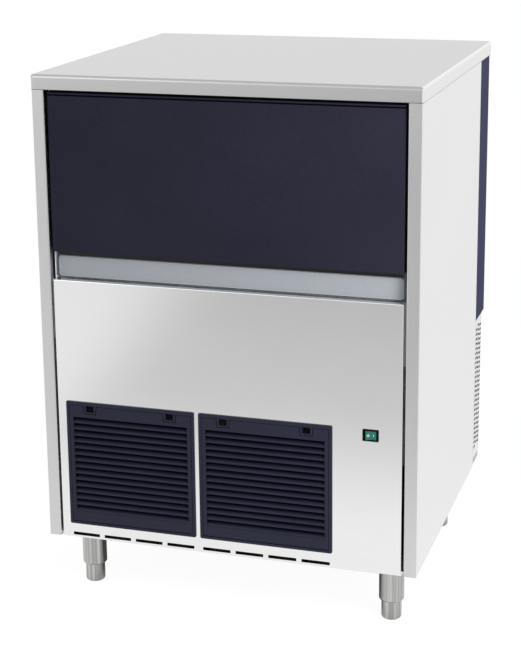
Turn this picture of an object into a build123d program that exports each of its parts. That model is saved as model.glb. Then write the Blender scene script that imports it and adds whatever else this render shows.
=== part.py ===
from build123d import *
import os
from math import cos, sin, sqrt, radians

os.makedirs("parts", exist_ok=True)

# Overall sizes of the cabinet, in millimetres
top_width = 738
top_depth = 690
cabinet_height = 910
foot_height = 120
sheet = 1.2
seat = 0.3

# Worktop, a folded sheet with a rounded front edge
fascia_height = 28.5
top_edge_radius = 6
top_corner_radius = 8
top_overhang = 2
hem_width = 10
board_thickness = 10
board_inset = 8

# Side panels, each with a column folded across the front; the covers fill the depth behind them
rear_depth = 100
column_width = 24
column_return = 12
rear_return = 20
fold_radius = 1.8

half_width = top_width / 2 - top_overhang
inner_half = half_width - sheet
front_y = -top_depth / 2 + top_overhang
cover_back_y = top_depth / 2
back_y = cover_back_y - rear_depth
floor_z = foot_height
rim_z = foot_height + cabinet_height - fascia_height
top_z = foot_height + cabinet_height
opening_half = half_width - column_width

# Lower front panel
panel_height = 521
panel_depth = 20
panel_gap = 4.5
panel_edge_radius = 2
panel_half = opening_half - panel_gap

# Louvred grilles, which share the front panel's width with the switch
grille_side_margin = 17.5
grille_spacing = 8.6
switch_zone = 130.9
grille_width = (2 * panel_half - grille_side_margin - grille_spacing - switch_zone) / 2
grille_height = 252
grille_bottom = 29.5
grille_left_x = -panel_half + grille_side_margin + grille_width / 2
grille_right_x = grille_left_x + grille_width + grille_spacing
grille_proud = 2
grille_corner_radius = 3
frame_overlap = 3
frame_wall = 2.5
frame_depth = 24
frame_lip = 6
frame_lip_thickness = 4
rim_top = 7.5
rim_bottom = 5
door_gap = 0.8
grille_door_thickness = 13
louvre_count = 15
louvre_side_band = 7.4
louvre_top_band = 23
louvre_bottom_band = 21
louvre_thickness = 2
louvre_reach = 10
louvre_drop = 11
louvre_lip = 2.6
louvre_rib_inset = 72
louvre_rib_spacing = grille_width - 2 * louvre_rib_inset
louvre_rib_depth = 2.5
grille_wall = 2.5
grille_pin_inset = 3.2
grille_pin_radius = 1.8
grille_pin_length = 2.2
grille_edge_radius = 2
tongue_inset = 49
tongue_spacing = grille_width - 2 * tongue_inset
tongue_top_width = 25.5
tongue_bottom_width = 22
tongue_length = 15.5
tongue_thickness = 3.5
tongue_wall = 3
tongue_gap = 1.3
running_gap = 0.05
filter_thickness = 6
filter_gap = 1

# Air slots under the grilles
slots_per_grille = 4
slot_margin = 4.7
slot_gap = 10.2
slot_row = grille_width - 2 * slot_margin
slot_length = (slot_row - (slots_per_grille - 1) * slot_gap) / slots_per_grille
slot_pitch = slot_length + slot_gap
slot_height = 6.2
slot_centre_height = 7.8

# Rocker switch
switch_inset = 58.8
switch_x = panel_half - switch_inset
switch_height = 270
bezel_width = 30
bezel_height = 22.4
bezel_proud = 2
bezel_corner_radius = 1.2
switch_body_width = 27
switch_body_height = 19.4
switch_body_depth = 22
switch_wall = 1.2
rocker_radius = 11.9
rocker_height = 16.4
rocker_pivot_depth = 5
rocker_tilt = 8
rocker_front = 7.5
rocker_dip = 5.2
rocker_back = 2
rocker_pin_radius = 1.5
rocker_pin_length = 1

# Insulated bin
bin_side_step = 1.5
bin_back_inset = 55
bin_back_y = back_y - bin_back_inset
bin_back_wall = 24
bin_floor_thickness = 30
bin_floor_height = 400
bin_front_wall = 24
bin_sill_drop = 2
bin_fillet = 20
bin_drain_radius = 12
bin_drain_inset = 90
bin_drain_y = bin_back_y - bin_drain_inset
seal_depth = 4
seal_width = 20

# Bin door, which tips up and slides back under the worktop
door_gap_side = 5.5
door_recess = 2
door_top_gap = 4.5
door_bottom_gap = 2.5
strip_zone = 51.5
liner_bottom = panel_height + door_bottom_gap
door_skin_bottom = liner_bottom + strip_zone
door_skin_depth = 24
door_wall = 3
door_edge_radius = 2
groove_from_top = 4
groove_height = 1.5
groove_depth = 1.2
grip_height = 25
liner_thickness = 16
liner_side_gap = 3.5
pillow_inset = 34
pillow_thickness = 5
pillow_taper = 30
strip_height = 40
strip_recess = 20
strip_corner_radius = 6.5
strip_back = 2
pivot_below_top = 27
pivot_back = 28
pivot_shaft_radius = 3
pivot_head_radius = 5
pivot_shaft_length = 18
track_clearance = 0.3
track_depth = 9
door_travel = 289

# Rear covers
cover_sheet = 1.5
cover_bottom = 328
cover_corner_radius = 5
vent_depth = 68
vent_bottom = 17
vent_slot_length = 17
vent_slot_height = 5
vent_slot_pitch = 21
vent_row_pitch = 10.6
vent_columns = 3
vent_margin = 14
back_slot_length = 70
back_slot_pitch = 88
back_slot_columns = 6
back_row_pitch = 24
back_rows = 8

# Feet
foot_side_inset = 62
foot_front_inset = 74
foot_rear_inset = 55
foot_x = half_width - foot_side_inset
foot_rear_y = back_y - foot_rear_inset
leg_radius = 24
leg_length = 82
leg_wall = 2
leg_plug = 6
leg_chamfer = 3
pad_radius = 19.25
pad_edge_radius = 5.5
stem_radius = 6
stem_length = 60
stem_clearance = 0.3

# Base pan
pan_sheet = 2
pan_wall_height = 28

# Condenser and its fan
condenser_left_gap = 55.8
condenser_right_gap = 165.8
condenser_inset = 43
condenser_left = -inner_half + condenser_left_gap
condenser_right = inner_half - condenser_right_gap
condenser_front_y = front_y + condenser_inset
condenser_depth = 50
condenser_bottom = 36
condenser_top = 292
end_plate = 2
fin_pitch = 12
fin_groove = 5
fin_groove_depth = 6
bend_radius = 14
bend_tube_radius = 4.8
bend_rows = 3
shroud_sheet = 1.5
fan_ring_radius = 122
fan_ring_depth = 24
fan_radius = 116
fan_hub_radius = 24
fan_hub_depth = 18
fan_blade_count = 5
fan_blade_thickness = 2
fan_blade_sink = 3
blade_root_width = 28
blade_root_angle = 40
blade_tip_width = 73
blade_tip_angle = 14
fan_shaft_radius = 4
fan_motor_radius = 42
fan_motor_length = 62
fan_motor_gap = 18
fan_motor_chamfer = 6
bracket_width = 14
bracket_thickness = 3

# Compressor
compressor_radius = 84
compressor_side_gap = 41.8
compressor_back_gap = 175
compressor_x = inner_half - compressor_radius - compressor_side_gap
compressor_y = back_y - compressor_back_gap
compressor_height = 200
compressor_dome = 40
compressor_base = 190
compressor_base_depth = 150
compressor_plate = 4
grommet_radius = 13
grommet_height = 16
grommet_spacing_x = 150
grommet_spacing_y = 110
stub_radius = 5
stub_length = 22
stub_sink = 3
upper_stub_height = 150
lower_stub_height = 70
seam_height = 96
seam_thickness = 5
seam_reach = 4
terminal_width = 60
terminal_height = 54
terminal_depth = 20
terminal_bottom = 62

# Ice making unit at the back
auger_side_gap = 215.8
auger_back_gap = 100
auger_x = -inner_half + auger_side_gap
auger_y = cover_back_y - auger_back_gap
gear_stand_sheet = 3
gear_bottom = 150
gear_width = 130
gear_depth = 116
gear_height = 60
gear_motor_radius = 56
gear_motor_length = 110
gear_fillet = 8
cylinder_bore = 32
cylinder_wall = 18
cylinder_height = 380
auger_core = 15
auger_radius = 31.5
auger_pitch = 60
auger_turns = 5
auger_flight = 4
auger_flight_sink = 2
auger_shaft_radius = 9
auger_shaft_sink = 30
auger_journal = 20
head_height = 76
head_radius = 50
head_wall = 4
spout_width = 84
spout_height = 56
spout_reach = 20
cap_thickness = 6
cap_boss_radius = 18
cap_boss_height = 14

# Water reservoir and its float
tank_offset = 125
tank_x = auger_x - tank_offset
tank_width = 100
tank_depth = 70
tank_height = 90
tank_wall = 3
tank_bottom = 560
tank_outlet_offset = 100
tank_outlet_x = auger_x - tank_outlet_offset
float_valve_radius = 8
float_valve_length = 34
float_pivot_radius = 2.5
float_pivot_drop = 14
valve_drop = 16
float_arm_length = 34
float_arm_width = 6
float_arm_tilt = 20
float_size = 28
float_height = 20
lug_thickness = 3
lug_width = 12

# Fittings on the back
fitting_height = 62
fitting_side_gap = 65.8
fitting_pitch = 64
inlet_x = -inner_half + fitting_side_gap
inlet_radius = 13.2
inlet_bore = 9
inlet_bore_depth = 20
inlet_body = 22
inlet_body_depth = 40
inlet_body_radius = 5
drain_x = inlet_x + fitting_pitch
drain_radius = 12
drain_bore = 9
gland_x = drain_x + fitting_pitch
gland_radius = 11
gland_nut = 15
gland_nut_height = 6
gland_edge_radius = 3
cable_radius = 5
fitting_reach = 28
fitting_clearance = 0.3
inlet_locknut = 18
drain_locknut = 17
locknut_height = 4
flange_thickness = 3

# Hoses and copper lines
inlet_hose_radius = 7
feed_hose_radius = 6
drain_hose_radius = 14
feed_hose_bend = 30
inlet_hose_bend = 17
drain_hose_bend = 60
copper_radius = 5
copper_bend = 22
discharge_reach = 29
discharge_lead = 130
discharge_y = condenser_front_y + condenser_depth + discharge_lead
suction_reach = 95
suction_x = auger_x + suction_reach
liquid_side_gap = 35.8
liquid_x = -inner_half + liquid_side_gap
line_side_gap = 20
feed_height = 60
liquid_height = 30
suction_drop = 30

# Filter drier and electrical box
drier_radius = 16
drier_length = 110
drier_taper = 8
drier_back_gap = 225
drier_y = back_y - drier_back_gap
box_side_gap = 23.8
box_width = 110
box_x = inner_half - box_width / 2 - box_side_gap
box_depth = 86
box_height = 190
box_gap = 6
box_lid = 3
box_edge = 3


def save(piece, label):
    """Name a finished piece and write it as one STEP file."""
    piece.part.label = label
    export_step(piece.part, f"parts/{label}.step")


def block(x, y, z, mode=Mode.ADD):
    """Rectangular block between low and high limits on each axis."""
    with Locations(((x[0] + x[1]) / 2, (y[0] + y[1]) / 2, (z[0] + z[1]) / 2)):
        Box(x[1] - x[0], y[1] - y[0], z[1] - z[0], mode=mode)


def rod(start, end, radius, mode=Mode.ADD):
    """Round bar from one point to another."""
    axis = Vector(*end) - Vector(*start)
    with Locations(Plane(origin=start, z_dir=axis).location):
        Cylinder(radius, axis.length, align=(Align.CENTER, Align.CENTER, Align.MIN), mode=mode)


# Worktop: one folded stainless sheet with a hem turned in under its edge
with BuildPart() as worktop:
    with BuildSketch(Plane.XY.offset(rim_z)):
        Rectangle(top_width, top_depth)
    extrude(amount=fascia_height)
    corners = worktop.edges().filter_by(Axis.Z).group_by(Axis.Y)[0]
    fillet(corners, top_corner_radius)
    upper = worktop.faces().sort_by(Axis.Z)[-1].edges()
    fillet(upper.sort_by(Axis.Y)[:-1], top_edge_radius)
    offset(amount=-sheet, openings=worktop.faces().sort_by(Axis.Z)[0])
    with BuildSketch(Plane.XY.offset(rim_z)):
        Rectangle(top_width - sheet, top_depth - sheet)
        fillet(vertices().group_by(Axis.Y)[0], top_corner_radius)
        Rectangle(top_width - 2 * hem_width, top_depth - 2 * hem_width, mode=Mode.SUBTRACT)
    extrude(amount=sheet)
save(worktop, "worktop")

# Insulating board bonded under the worktop sheet
with BuildPart() as worktop_board:
    with BuildSketch(Plane.XY.offset(top_z - sheet - board_thickness)):
        Rectangle(top_width - 2 * board_inset, top_depth - 2 * board_inset)
    extrude(amount=board_thickness)
save(worktop_board, "worktop_board")


pan_top_z = floor_z + pan_wall_height


def side_panel(side, label):
    """Side sheet with a column folded across the front and a return at the back."""
    mid = half_width - sheet / 2
    path = [
        (side * (mid - rear_return), back_y - sheet / 2),
        (side * mid, back_y - sheet / 2),
        (side * mid, front_y + sheet / 2),
        (side * (opening_half + sheet / 2), front_y + sheet / 2),
        (side * (opening_half + sheet / 2), front_y + column_return),
    ]
    with BuildPart() as panel:
        with BuildSketch(Plane.XY.offset(floor_z)):
            with BuildLine():
                FilletPolyline(*path, radius=fold_radius)
            trace(line_width=sheet)
        extrude(amount=rim_z - seat - floor_z)
        notch = sorted((side * (mid - rear_return - sheet), side * inner_half))
        block(notch, (back_y - rear_return, back_y), (floor_z, pan_top_z + seat), mode=Mode.SUBTRACT)
    save(panel, label)


side_panel(-1, "side_panel_left")
side_panel(1, "side_panel_right")

# Base pan: a folded tray that carries the machinery and the feet
pan_half = inner_half - seat
panel_back_y = front_y + panel_depth + seat
vent_back_y = back_y + vent_depth
pan_back_y = vent_back_y - sheet - seat
with BuildPart() as base_pan:
    block((-pan_half, pan_half), (panel_back_y, pan_back_y), (floor_z, pan_top_z))
    offset(amount=-pan_sheet, openings=base_pan.faces().sort_by(Axis.Z)[-1])
save(base_pan, "base_pan")

# Front panel: a shallow pressed pan with two grille openings, air slots and a switch hole
grille_places = [grille_left_x, grille_right_x]
grille_centre_z = floor_z + grille_bottom + grille_height / 2
sleeve_width = grille_width - 2 * frame_overlap - 2 * seat
sleeve_height = grille_height - 2 * frame_overlap - 2 * seat
face_plane = Plane(origin=(0, front_y, 0), x_dir=(1, 0, 0), z_dir=(0, -1, 0))
with BuildPart() as front_panel:
    block((-panel_half, panel_half), (front_y, front_y + panel_depth), (floor_z, floor_z + panel_height))
    fillet(front_panel.faces().sort_by(Axis.Y)[0].edges(), panel_edge_radius)
    offset(amount=-sheet, openings=front_panel.faces().sort_by(Axis.Y)[-1])
    with BuildSketch(face_plane):
        for x in grille_places:
            with Locations((x, grille_centre_z)):
                Rectangle(grille_width - 2 * frame_overlap, grille_height - 2 * frame_overlap)
            with Locations((x, floor_z + slot_centre_height)):
                with GridLocations(slot_pitch, 0, slots_per_grille, 1):
                    Rectangle(slot_length, slot_height)
        with Locations((switch_x, floor_z + switch_height)):
            Rectangle(switch_body_width + 2 * seat, switch_body_height + 2 * seat)
    extrude(amount=-2 * sheet, mode=Mode.SUBTRACT)
save(front_panel, "front_panel")

# Sizes shared by each grille frame and the louvred door inside it
frame_front_y = front_y - grille_proud
pocket_width = grille_width - 2 * frame_overlap - 2 * seat - 2 * frame_wall
pocket_bottom = floor_z + grille_bottom + rim_bottom
pocket_top = floor_z + grille_bottom + grille_height - rim_top
pocket_depth = grille_door_thickness + 2 * seat
louvre_door_width = pocket_width - 2 * door_gap
louvre_door_bottom = pocket_bottom + door_gap
louvre_door_top = pocket_top - door_gap
louvre_door_height = louvre_door_top - louvre_door_bottom
grille_pin_y = frame_front_y + grille_pin_inset
grille_pin_z = louvre_door_bottom + grille_pin_inset
frame_back_y = front_y + frame_depth
window_width = louvre_door_width - 2 * louvre_side_band
window_height = louvre_door_height - louvre_top_band - louvre_bottom_band
louvre_pitch = window_height / louvre_count


def tongue_outline(centre_x, grow):
    """Tapered tongue profile hanging from the top rim, grown all round by a gap."""
    top = tongue_top_width / 2 + grow
    bottom = tongue_bottom_width / 2 + grow
    low = pocket_top - tongue_length - grow
    Polygon(
        (centre_x - top, pocket_top),
        (centre_x - bottom, low),
        (centre_x + bottom, low),
        (centre_x + top, pocket_top),
        align=None,
    )


def grille_frame(centre_x, label):
    """Moulded frame set in the panel: a proud rim, a sleeve, a stop lip and two tongues."""
    with BuildPart() as frame:
        with BuildSketch(face_plane):
            with Locations((centre_x, grille_centre_z)):
                RectangleRounded(grille_width, grille_height, grille_corner_radius)
        extrude(amount=grille_proud)
        with BuildSketch(face_plane):
            with Locations((centre_x, grille_centre_z)):
                Rectangle(sleeve_width, sleeve_height)
        extrude(amount=-frame_depth)
        middle = (pocket_bottom + pocket_top) / 2
        height = pocket_top - pocket_bottom
        with BuildSketch(face_plane.offset(grille_proud)):
            with Locations((centre_x, middle)):
                Rectangle(pocket_width, height)
        extrude(amount=-pocket_depth, mode=Mode.SUBTRACT)
        with BuildSketch(face_plane.offset(grille_proud)):
            with Locations((centre_x, middle)):
                Rectangle(pocket_width - 2 * frame_lip, height - 2 * frame_lip)
        extrude(amount=-frame_depth - grille_proud, mode=Mode.SUBTRACT)
        with BuildSketch(face_plane.offset(-frame_depth)):
            with Locations((centre_x, middle)):
                Rectangle(pocket_width, height)
        extrude(amount=frame_depth + grille_proud - pocket_depth - frame_lip_thickness, mode=Mode.SUBTRACT)
        for side in (-1, 1):
            x = centre_x + side * tongue_spacing / 2
            with BuildSketch(face_plane.offset(grille_proud)):
                tongue_outline(x, 0)
            extrude(amount=-tongue_thickness)
            with BuildSketch(face_plane.offset(grille_proud)):
                with Locations((x, pocket_top - (tongue_length - tongue_wall) / 2)):
                    Rectangle(tongue_bottom_width - 2 * tongue_wall, tongue_length - tongue_wall)
            extrude(amount=-tongue_thickness, mode=Mode.SUBTRACT)
            pin_start = (centre_x + side * (pocket_width / 2 - 1), grille_pin_y, grille_pin_z)
            pin_end = (centre_x + side * sleeve_width / 2, grille_pin_y, grille_pin_z)
            rod(pin_start, pin_end, grille_pin_radius + running_gap, mode=Mode.SUBTRACT)
    save(frame, label)


def louvre_outline(top):
    """Section of one slat that slopes outwards and down to a thicker rounded lip."""
    low_y = frame_front_y + louvre_lip / 2 + seat
    high_y = low_y + louvre_reach
    low = top - louvre_drop
    Polygon(
        (high_y, top),
        (high_y, top - louvre_thickness),
        (low_y, low - louvre_thickness / 2),
        (low_y - louvre_lip / 2, low - louvre_thickness / 4),
        (low_y - louvre_lip / 2, low + louvre_lip / 2),
        (low_y, low + louvre_lip),
        align=None,
    )


def grille_door(centre_x, label):
    """Louvred door on two bottom pins, notched for the tongues of its frame."""
    half = louvre_door_width / 2
    back = frame_front_y + grille_door_thickness
    window_bottom = louvre_door_bottom + louvre_bottom_band
    window_top = louvre_door_top - louvre_top_band
    with BuildPart() as door:
        block(
            (centre_x - half, centre_x + half),
            (frame_front_y, back),
            (louvre_door_bottom, louvre_door_top),
        )
        front_edges = door.faces().sort_by(Axis.Y)[0].edges()
        fillet(front_edges.sort_by(Axis.Z)[0], grille_edge_radius)
        for low, high in (
            (louvre_door_bottom + grille_wall, window_bottom - grille_wall),
            (window_top + grille_wall, louvre_door_top - grille_wall),
        ):
            block(
                (centre_x - half + louvre_side_band, centre_x + half - louvre_side_band),
                (frame_front_y + grille_wall, back),
                (low, high),
                mode=Mode.SUBTRACT,
            )
        block(
            (centre_x - window_width / 2, centre_x + window_width / 2),
            (frame_front_y, back),
            (window_bottom, window_top),
            mode=Mode.SUBTRACT,
        )
        side_plane = Plane(origin=(centre_x - window_width / 2, 0, 0), x_dir=(0, 1, 0), z_dir=(1, 0, 0))
        with BuildSketch(side_plane):
            for row in range(louvre_count):
                louvre_outline(window_top - row * louvre_pitch - louvre_thickness / 2)
        extrude(amount=window_width)
        with Locations((centre_x, back - louvre_rib_depth / 2, (window_bottom + window_top) / 2)):
            with GridLocations(louvre_rib_spacing, 0, 2, 1):
                Box(grille_wall, louvre_rib_depth, window_height)
        for side in (-1, 1):
            x = centre_x + side * tongue_spacing / 2
            with BuildSketch(face_plane.offset(grille_proud)):
                tongue_outline(x, tongue_gap)
            extrude(amount=-grille_door_thickness, mode=Mode.SUBTRACT)
            start = (centre_x + side * (half - 1), grille_pin_y, grille_pin_z)
            end = (centre_x + side * (half + door_gap + grille_pin_length), grille_pin_y, grille_pin_z)
            rod(start, end, grille_pin_radius)
    save(door, label)


def air_filter(centre_x, label):
    """Flat washable filter held at the back of its grille frame."""
    back = frame_back_y - filter_gap
    with BuildPart() as panel:
        block(
            (centre_x - pocket_width / 2 + seat, centre_x + pocket_width / 2 - seat),
            (back - filter_thickness, back),
            (pocket_bottom + seat, pocket_top - seat),
        )
    save(panel, label)


for name, centre in zip(("left", "right"), grille_places):
    grille_frame(centre, f"grille_frame_{name}")
    grille_door(centre, f"grille_door_{name}")
    air_filter(centre, f"air_filter_{name}")

# Rocker switch: a black bezel with its body behind the panel, and the green rocker in it
switch_z = floor_z + switch_height
pivot_y = front_y + rocker_pivot_depth
pin_reach = rocker_height / 2 + rocker_pin_length
with BuildPart() as switch_bezel:
    with BuildSketch(face_plane):
        with Locations((switch_x, switch_z)):
            RectangleRounded(bezel_width, bezel_height, bezel_corner_radius)
    extrude(amount=bezel_proud)
    with BuildSketch(face_plane):
        with Locations((switch_x, switch_z)):
            Rectangle(switch_body_width, switch_body_height)
    extrude(amount=-switch_body_depth)
    with BuildSketch(face_plane.offset(bezel_proud)):
        with Locations((switch_x, switch_z)):
            Rectangle(2 * (rocker_radius + seat), rocker_height + 2 * seat)
    extrude(amount=-bezel_proud - switch_body_depth + switch_wall, mode=Mode.SUBTRACT)
    rod(
        (switch_x, pivot_y, switch_z - pin_reach - seat),
        (switch_x, pivot_y, switch_z + pin_reach + seat),
        rocker_pin_radius + running_gap,
        mode=Mode.SUBTRACT,
    )
save(switch_bezel, "switch_bezel")

tilt = radians(rocker_tilt)
rocker_plane = Plane(
    origin=(switch_x, pivot_y, switch_z - rocker_height / 2),
    x_dir=(cos(tilt), sin(tilt), 0),
    z_dir=(0, 0, 1),
)
rocker_end = sqrt(rocker_radius**2 - rocker_front**2)
rocker_foot = sqrt(rocker_radius**2 - rocker_back**2)
with BuildPart() as switch_rocker:
    with BuildSketch(rocker_plane):
        with BuildLine():
            Polyline((rocker_end, -rocker_front), (0, -rocker_dip), (-rocker_end, -rocker_front))
            ThreePointArc((-rocker_end, -rocker_front), (-rocker_radius, 0), (-rocker_foot, rocker_back))
            Line((-rocker_foot, rocker_back), (rocker_foot, rocker_back))
            ThreePointArc((rocker_foot, rocker_back), (rocker_radius, 0), (rocker_end, -rocker_front))
        make_face()
    extrude(amount=rocker_height)
    rod(
        (switch_x, pivot_y, switch_z - pin_reach),
        (switch_x, pivot_y, switch_z + pin_reach),
        rocker_pin_radius,
    )
save(switch_rocker, "switch_rocker")

# Insulated bin: a foamed tub, open at the front above its sill, with the door tracks in its sides
bin_inner = opening_half - bin_side_step
bin_front_y = panel_back_y
bin_bottom_z = floor_z + bin_floor_height
bin_floor_z = bin_bottom_z + bin_floor_thickness
bin_sill_z = floor_z + panel_height - bin_sill_drop
bin_top_z = rim_z - seat
bin_inner_back = bin_back_y - bin_back_wall
door_top_z = rim_z - door_top_gap
pivot_z = door_top_z - pivot_below_top
door_front_y = front_y + door_recess
pivot_start_y = door_front_y + pivot_back
track_radius = pivot_head_radius + track_clearance
track_end_y = pivot_start_y + door_travel
spout_z = floor_z + gear_bottom + gear_height + cylinder_height + head_height / 2
with BuildPart() as bin_tub:
    block((-inner_half, inner_half), (bin_front_y, bin_back_y), (bin_bottom_z, bin_top_z))
    block(
        (-bin_inner, bin_inner),
        (bin_front_y + bin_front_wall, bin_inner_back),
        (bin_floor_z, bin_top_z),
        mode=Mode.SUBTRACT,
    )
    inner_edges = bin_tub.edges().filter_by(Axis.Z).filter_by_position(Axis.X, -bin_inner - 1, bin_inner + 1)
    fillet(inner_edges.group_by(Axis.Y)[-1], bin_fillet)
    bin_mouth_y = (bin_front_y, bin_front_y + bin_front_wall)
    block((-bin_inner, bin_inner), bin_mouth_y, (bin_sill_z, bin_top_z), mode=Mode.SUBTRACT)
    for side in (-1, 1):
        track_wall = side * bin_inner
        track_bed = side * (bin_inner + track_depth)
        block(
            sorted((track_wall, track_bed)),
            (bin_front_y, track_end_y),
            (pivot_z - track_radius, pivot_z + track_radius),
            mode=Mode.SUBTRACT,
        )
        rod(
            (track_wall, track_end_y, pivot_z),
            (track_bed, track_end_y, pivot_z),
            track_radius,
            mode=Mode.SUBTRACT,
        )
    rod(
        (drain_x, bin_drain_y, bin_bottom_z),
        (drain_x, bin_drain_y, bin_floor_z),
        bin_drain_radius,
        mode=Mode.SUBTRACT,
    )
    block(
        (auger_x - spout_width / 2 - seat, auger_x + spout_width / 2 + seat),
        (bin_inner_back, bin_back_y),
        (spout_z - spout_height / 2 - seat, spout_z + spout_height / 2 + seat),
        mode=Mode.SUBTRACT,
    )
save(bin_tub, "bin_tub")

# Bin seal: a black rubber strip up each front edge of the tub
with BuildPart() as bin_seal:
    with BuildSketch(face_plane.offset(front_y - bin_front_y)):
        with Locations((0, (bin_sill_z + bin_top_z) / 2)):
            with GridLocations(2 * bin_inner + seal_width, 0, 2, 1):
                Rectangle(seal_width, bin_top_z - bin_sill_z)
    extrude(amount=seal_depth)
save(bin_seal, "bin_seal")

# Bin door skin: a moulded cover, open at the back, with a finger channel behind its lower lip
skin_half = opening_half - door_gap_side
skin_bottom_z = floor_z + door_skin_bottom
skin_back_y = door_front_y + door_skin_depth
grip_top_z = skin_bottom_z + grip_height
groove_top_z = door_top_z - groove_from_top
with BuildPart() as bin_door:
    block((-skin_half, skin_half), (door_front_y, skin_back_y), (skin_bottom_z, door_top_z))
    fillet(bin_door.faces().sort_by(Axis.Y)[0].edges(), door_edge_radius)
    block(
        (-skin_half + door_wall, skin_half - door_wall),
        (door_front_y + door_wall, skin_back_y),
        (grip_top_z + door_wall, door_top_z - door_wall),
        mode=Mode.SUBTRACT,
    )
    block(
        (-skin_half + door_wall, skin_half - door_wall),
        (door_front_y + door_wall, skin_back_y),
        (skin_bottom_z, grip_top_z),
        mode=Mode.SUBTRACT,
    )
    block(
        (-skin_half, skin_half),
        (door_front_y, door_front_y + groove_depth),
        (groove_top_z - groove_height, groove_top_z),
        mode=Mode.SUBTRACT,
    )
save(bin_door, "bin_door")

# Door liner: the insulated inner panel, with a raised pillow and a bore for each pivot
liner_half = skin_half - liner_side_gap
liner_back_y = skin_back_y + liner_thickness
liner_bottom_z = floor_z + liner_bottom
liner_top_z = door_top_z - door_wall
with BuildPart() as door_liner:
    block((-liner_half, liner_half), (skin_back_y, liner_back_y), (liner_bottom_z, liner_top_z))
    with BuildSketch(face_plane.offset(front_y - liner_back_y)):
        with Locations((0, (liner_bottom_z + liner_top_z) / 2)):
            RectangleRounded(
                2 * (liner_half - pillow_inset),
                liner_top_z - liner_bottom_z - 2 * pillow_inset,
                bin_fillet,
            )
    extrude(amount=-pillow_thickness, taper=pillow_taper)
    for side in (-1, 1):
        start = (side * (liner_half - pivot_shaft_length), pivot_start_y, pivot_z)
        end = (side * liner_half, pivot_start_y, pivot_z)
        rod(start, end, pivot_shaft_radius + running_gap, mode=Mode.SUBTRACT)
save(door_liner, "door_liner")

# Door handle: a grey extrusion with rounded ends, set back below the lip of the skin
strip_front_y = front_y + strip_recess
strip_top_z = liner_bottom_z + strip_height
with BuildPart() as door_handle:
    with BuildSketch(face_plane.offset(-strip_recess)):
        with Locations((0, (liner_bottom_z + strip_top_z) / 2)):
            RectangleRounded(2 * liner_half, strip_height, strip_corner_radius)
    extrude(amount=strip_front_y - skin_back_y)
    block(
        (-liner_half, liner_half),
        (skin_back_y - strip_back, skin_back_y),
        (strip_top_z - strip_corner_radius, grip_top_z),
    )
save(door_handle, "door_handle")


def door_pivot(side, label):
    """Stepped steel pivot: a shaft in the door liner and a head that runs in the track."""
    with BuildPart() as pivot:
        shaft_start = side * (liner_half - pivot_shaft_length + seat)
        head_start = side * (skin_half + seat)
        head_end = side * (bin_inner + track_depth - seat)
        rod((shaft_start, pivot_start_y, pivot_z), (head_start, pivot_start_y, pivot_z), pivot_shaft_radius)
        rod((head_start, pivot_start_y, pivot_z), (head_end, pivot_start_y, pivot_z), pivot_head_radius)
    save(pivot, label)


door_pivot(-1, "door_pivot_left")
door_pivot(1, "door_pivot_right")

# Rear cover: a dark moulded hood over the ice making unit, open towards the cabinet
cover_bottom_z = floor_z + cover_bottom
cover_front_y = back_y + seat
cover_top_z = rim_z - seat
with BuildPart() as rear_cover:
    block((-half_width, half_width), (cover_front_y, cover_back_y), (cover_bottom_z, cover_top_z))
    fillet(rear_cover.edges().filter_by(Axis.Z).group_by(Axis.Y)[-1], cover_corner_radius)
    offset(amount=-cover_sheet, openings=rear_cover.faces().sort_by(Axis.Y)[0])
    block(
        (-half_width + cover_sheet, half_width - cover_sheet),
        (cover_front_y, vent_back_y),
        (cover_bottom_z, cover_bottom_z + cover_sheet),
        mode=Mode.SUBTRACT,
    )
save(rear_cover, "rear_cover")

# Rear grille: a folded sheet round the machinery, slotted at its sides and back
vent_front_y = back_y + seat
vent_bottom_z = floor_z + vent_bottom
vent_top_z = cover_bottom_z - seat
vent_rows = int((vent_top_z - vent_bottom_z - 2 * vent_margin) / vent_row_pitch)
vent_centre_z = (vent_bottom_z + vent_top_z) / 2
vent_centre_y = (vent_front_y + vent_back_y) / 2
fitting_z = floor_z + fitting_height
back_slot_base = fitting_z + 2 * inlet_body
with BuildPart() as rear_grille:
    block((-half_width, half_width), (vent_front_y, vent_back_y), (vent_bottom_z, vent_top_z))
    offset(
        amount=-sheet,
        openings=[
            rear_grille.faces().sort_by(Axis.Y)[0],
            rear_grille.faces().sort_by(Axis.Z)[0],
            rear_grille.faces().sort_by(Axis.Z)[-1],
        ],
    )
    with BuildSketch(Plane.YZ.offset(-half_width)):
        for column in range(vent_columns):
            y = vent_centre_y + (column - (vent_columns - 1) / 2) * vent_slot_pitch
            stagger = (column % 2) * vent_row_pitch / 2
            with Locations((y, vent_centre_z + stagger)):
                with GridLocations(0, vent_row_pitch, 1, vent_rows):
                    Rectangle(vent_slot_length, vent_slot_height)
    extrude(amount=2 * half_width, mode=Mode.SUBTRACT)
    with BuildSketch(face_plane.offset(front_y - vent_back_y)):
        with Locations((0, back_slot_base + back_rows * back_row_pitch / 2)):
            with GridLocations(back_slot_pitch, back_row_pitch, back_slot_columns, back_rows):
                Rectangle(back_slot_length, vent_slot_height)
    extrude(amount=2 * sheet, both=True, mode=Mode.SUBTRACT)
    for x, radius in ((inlet_x, inlet_radius), (drain_x, drain_radius), (gland_x, gland_radius)):
        start = (x, vent_back_y - 2 * sheet, fitting_z)
        end = (x, vent_back_y + sheet, fitting_z)
        rod(start, end, radius + fitting_clearance, mode=Mode.SUBTRACT)
save(rear_grille, "rear_grille")

# Feet: a tube welded under each corner, with a threaded foot that screws out of it
foot_front_y = front_y + foot_front_inset
foot_places = {
    "front_left": (-foot_x, foot_front_y),
    "front_right": (foot_x, foot_front_y),
    "rear_left": (-foot_x, foot_rear_y),
    "rear_right": (foot_x, foot_rear_y),
}
leg_bottom_z = floor_z - leg_length


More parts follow.
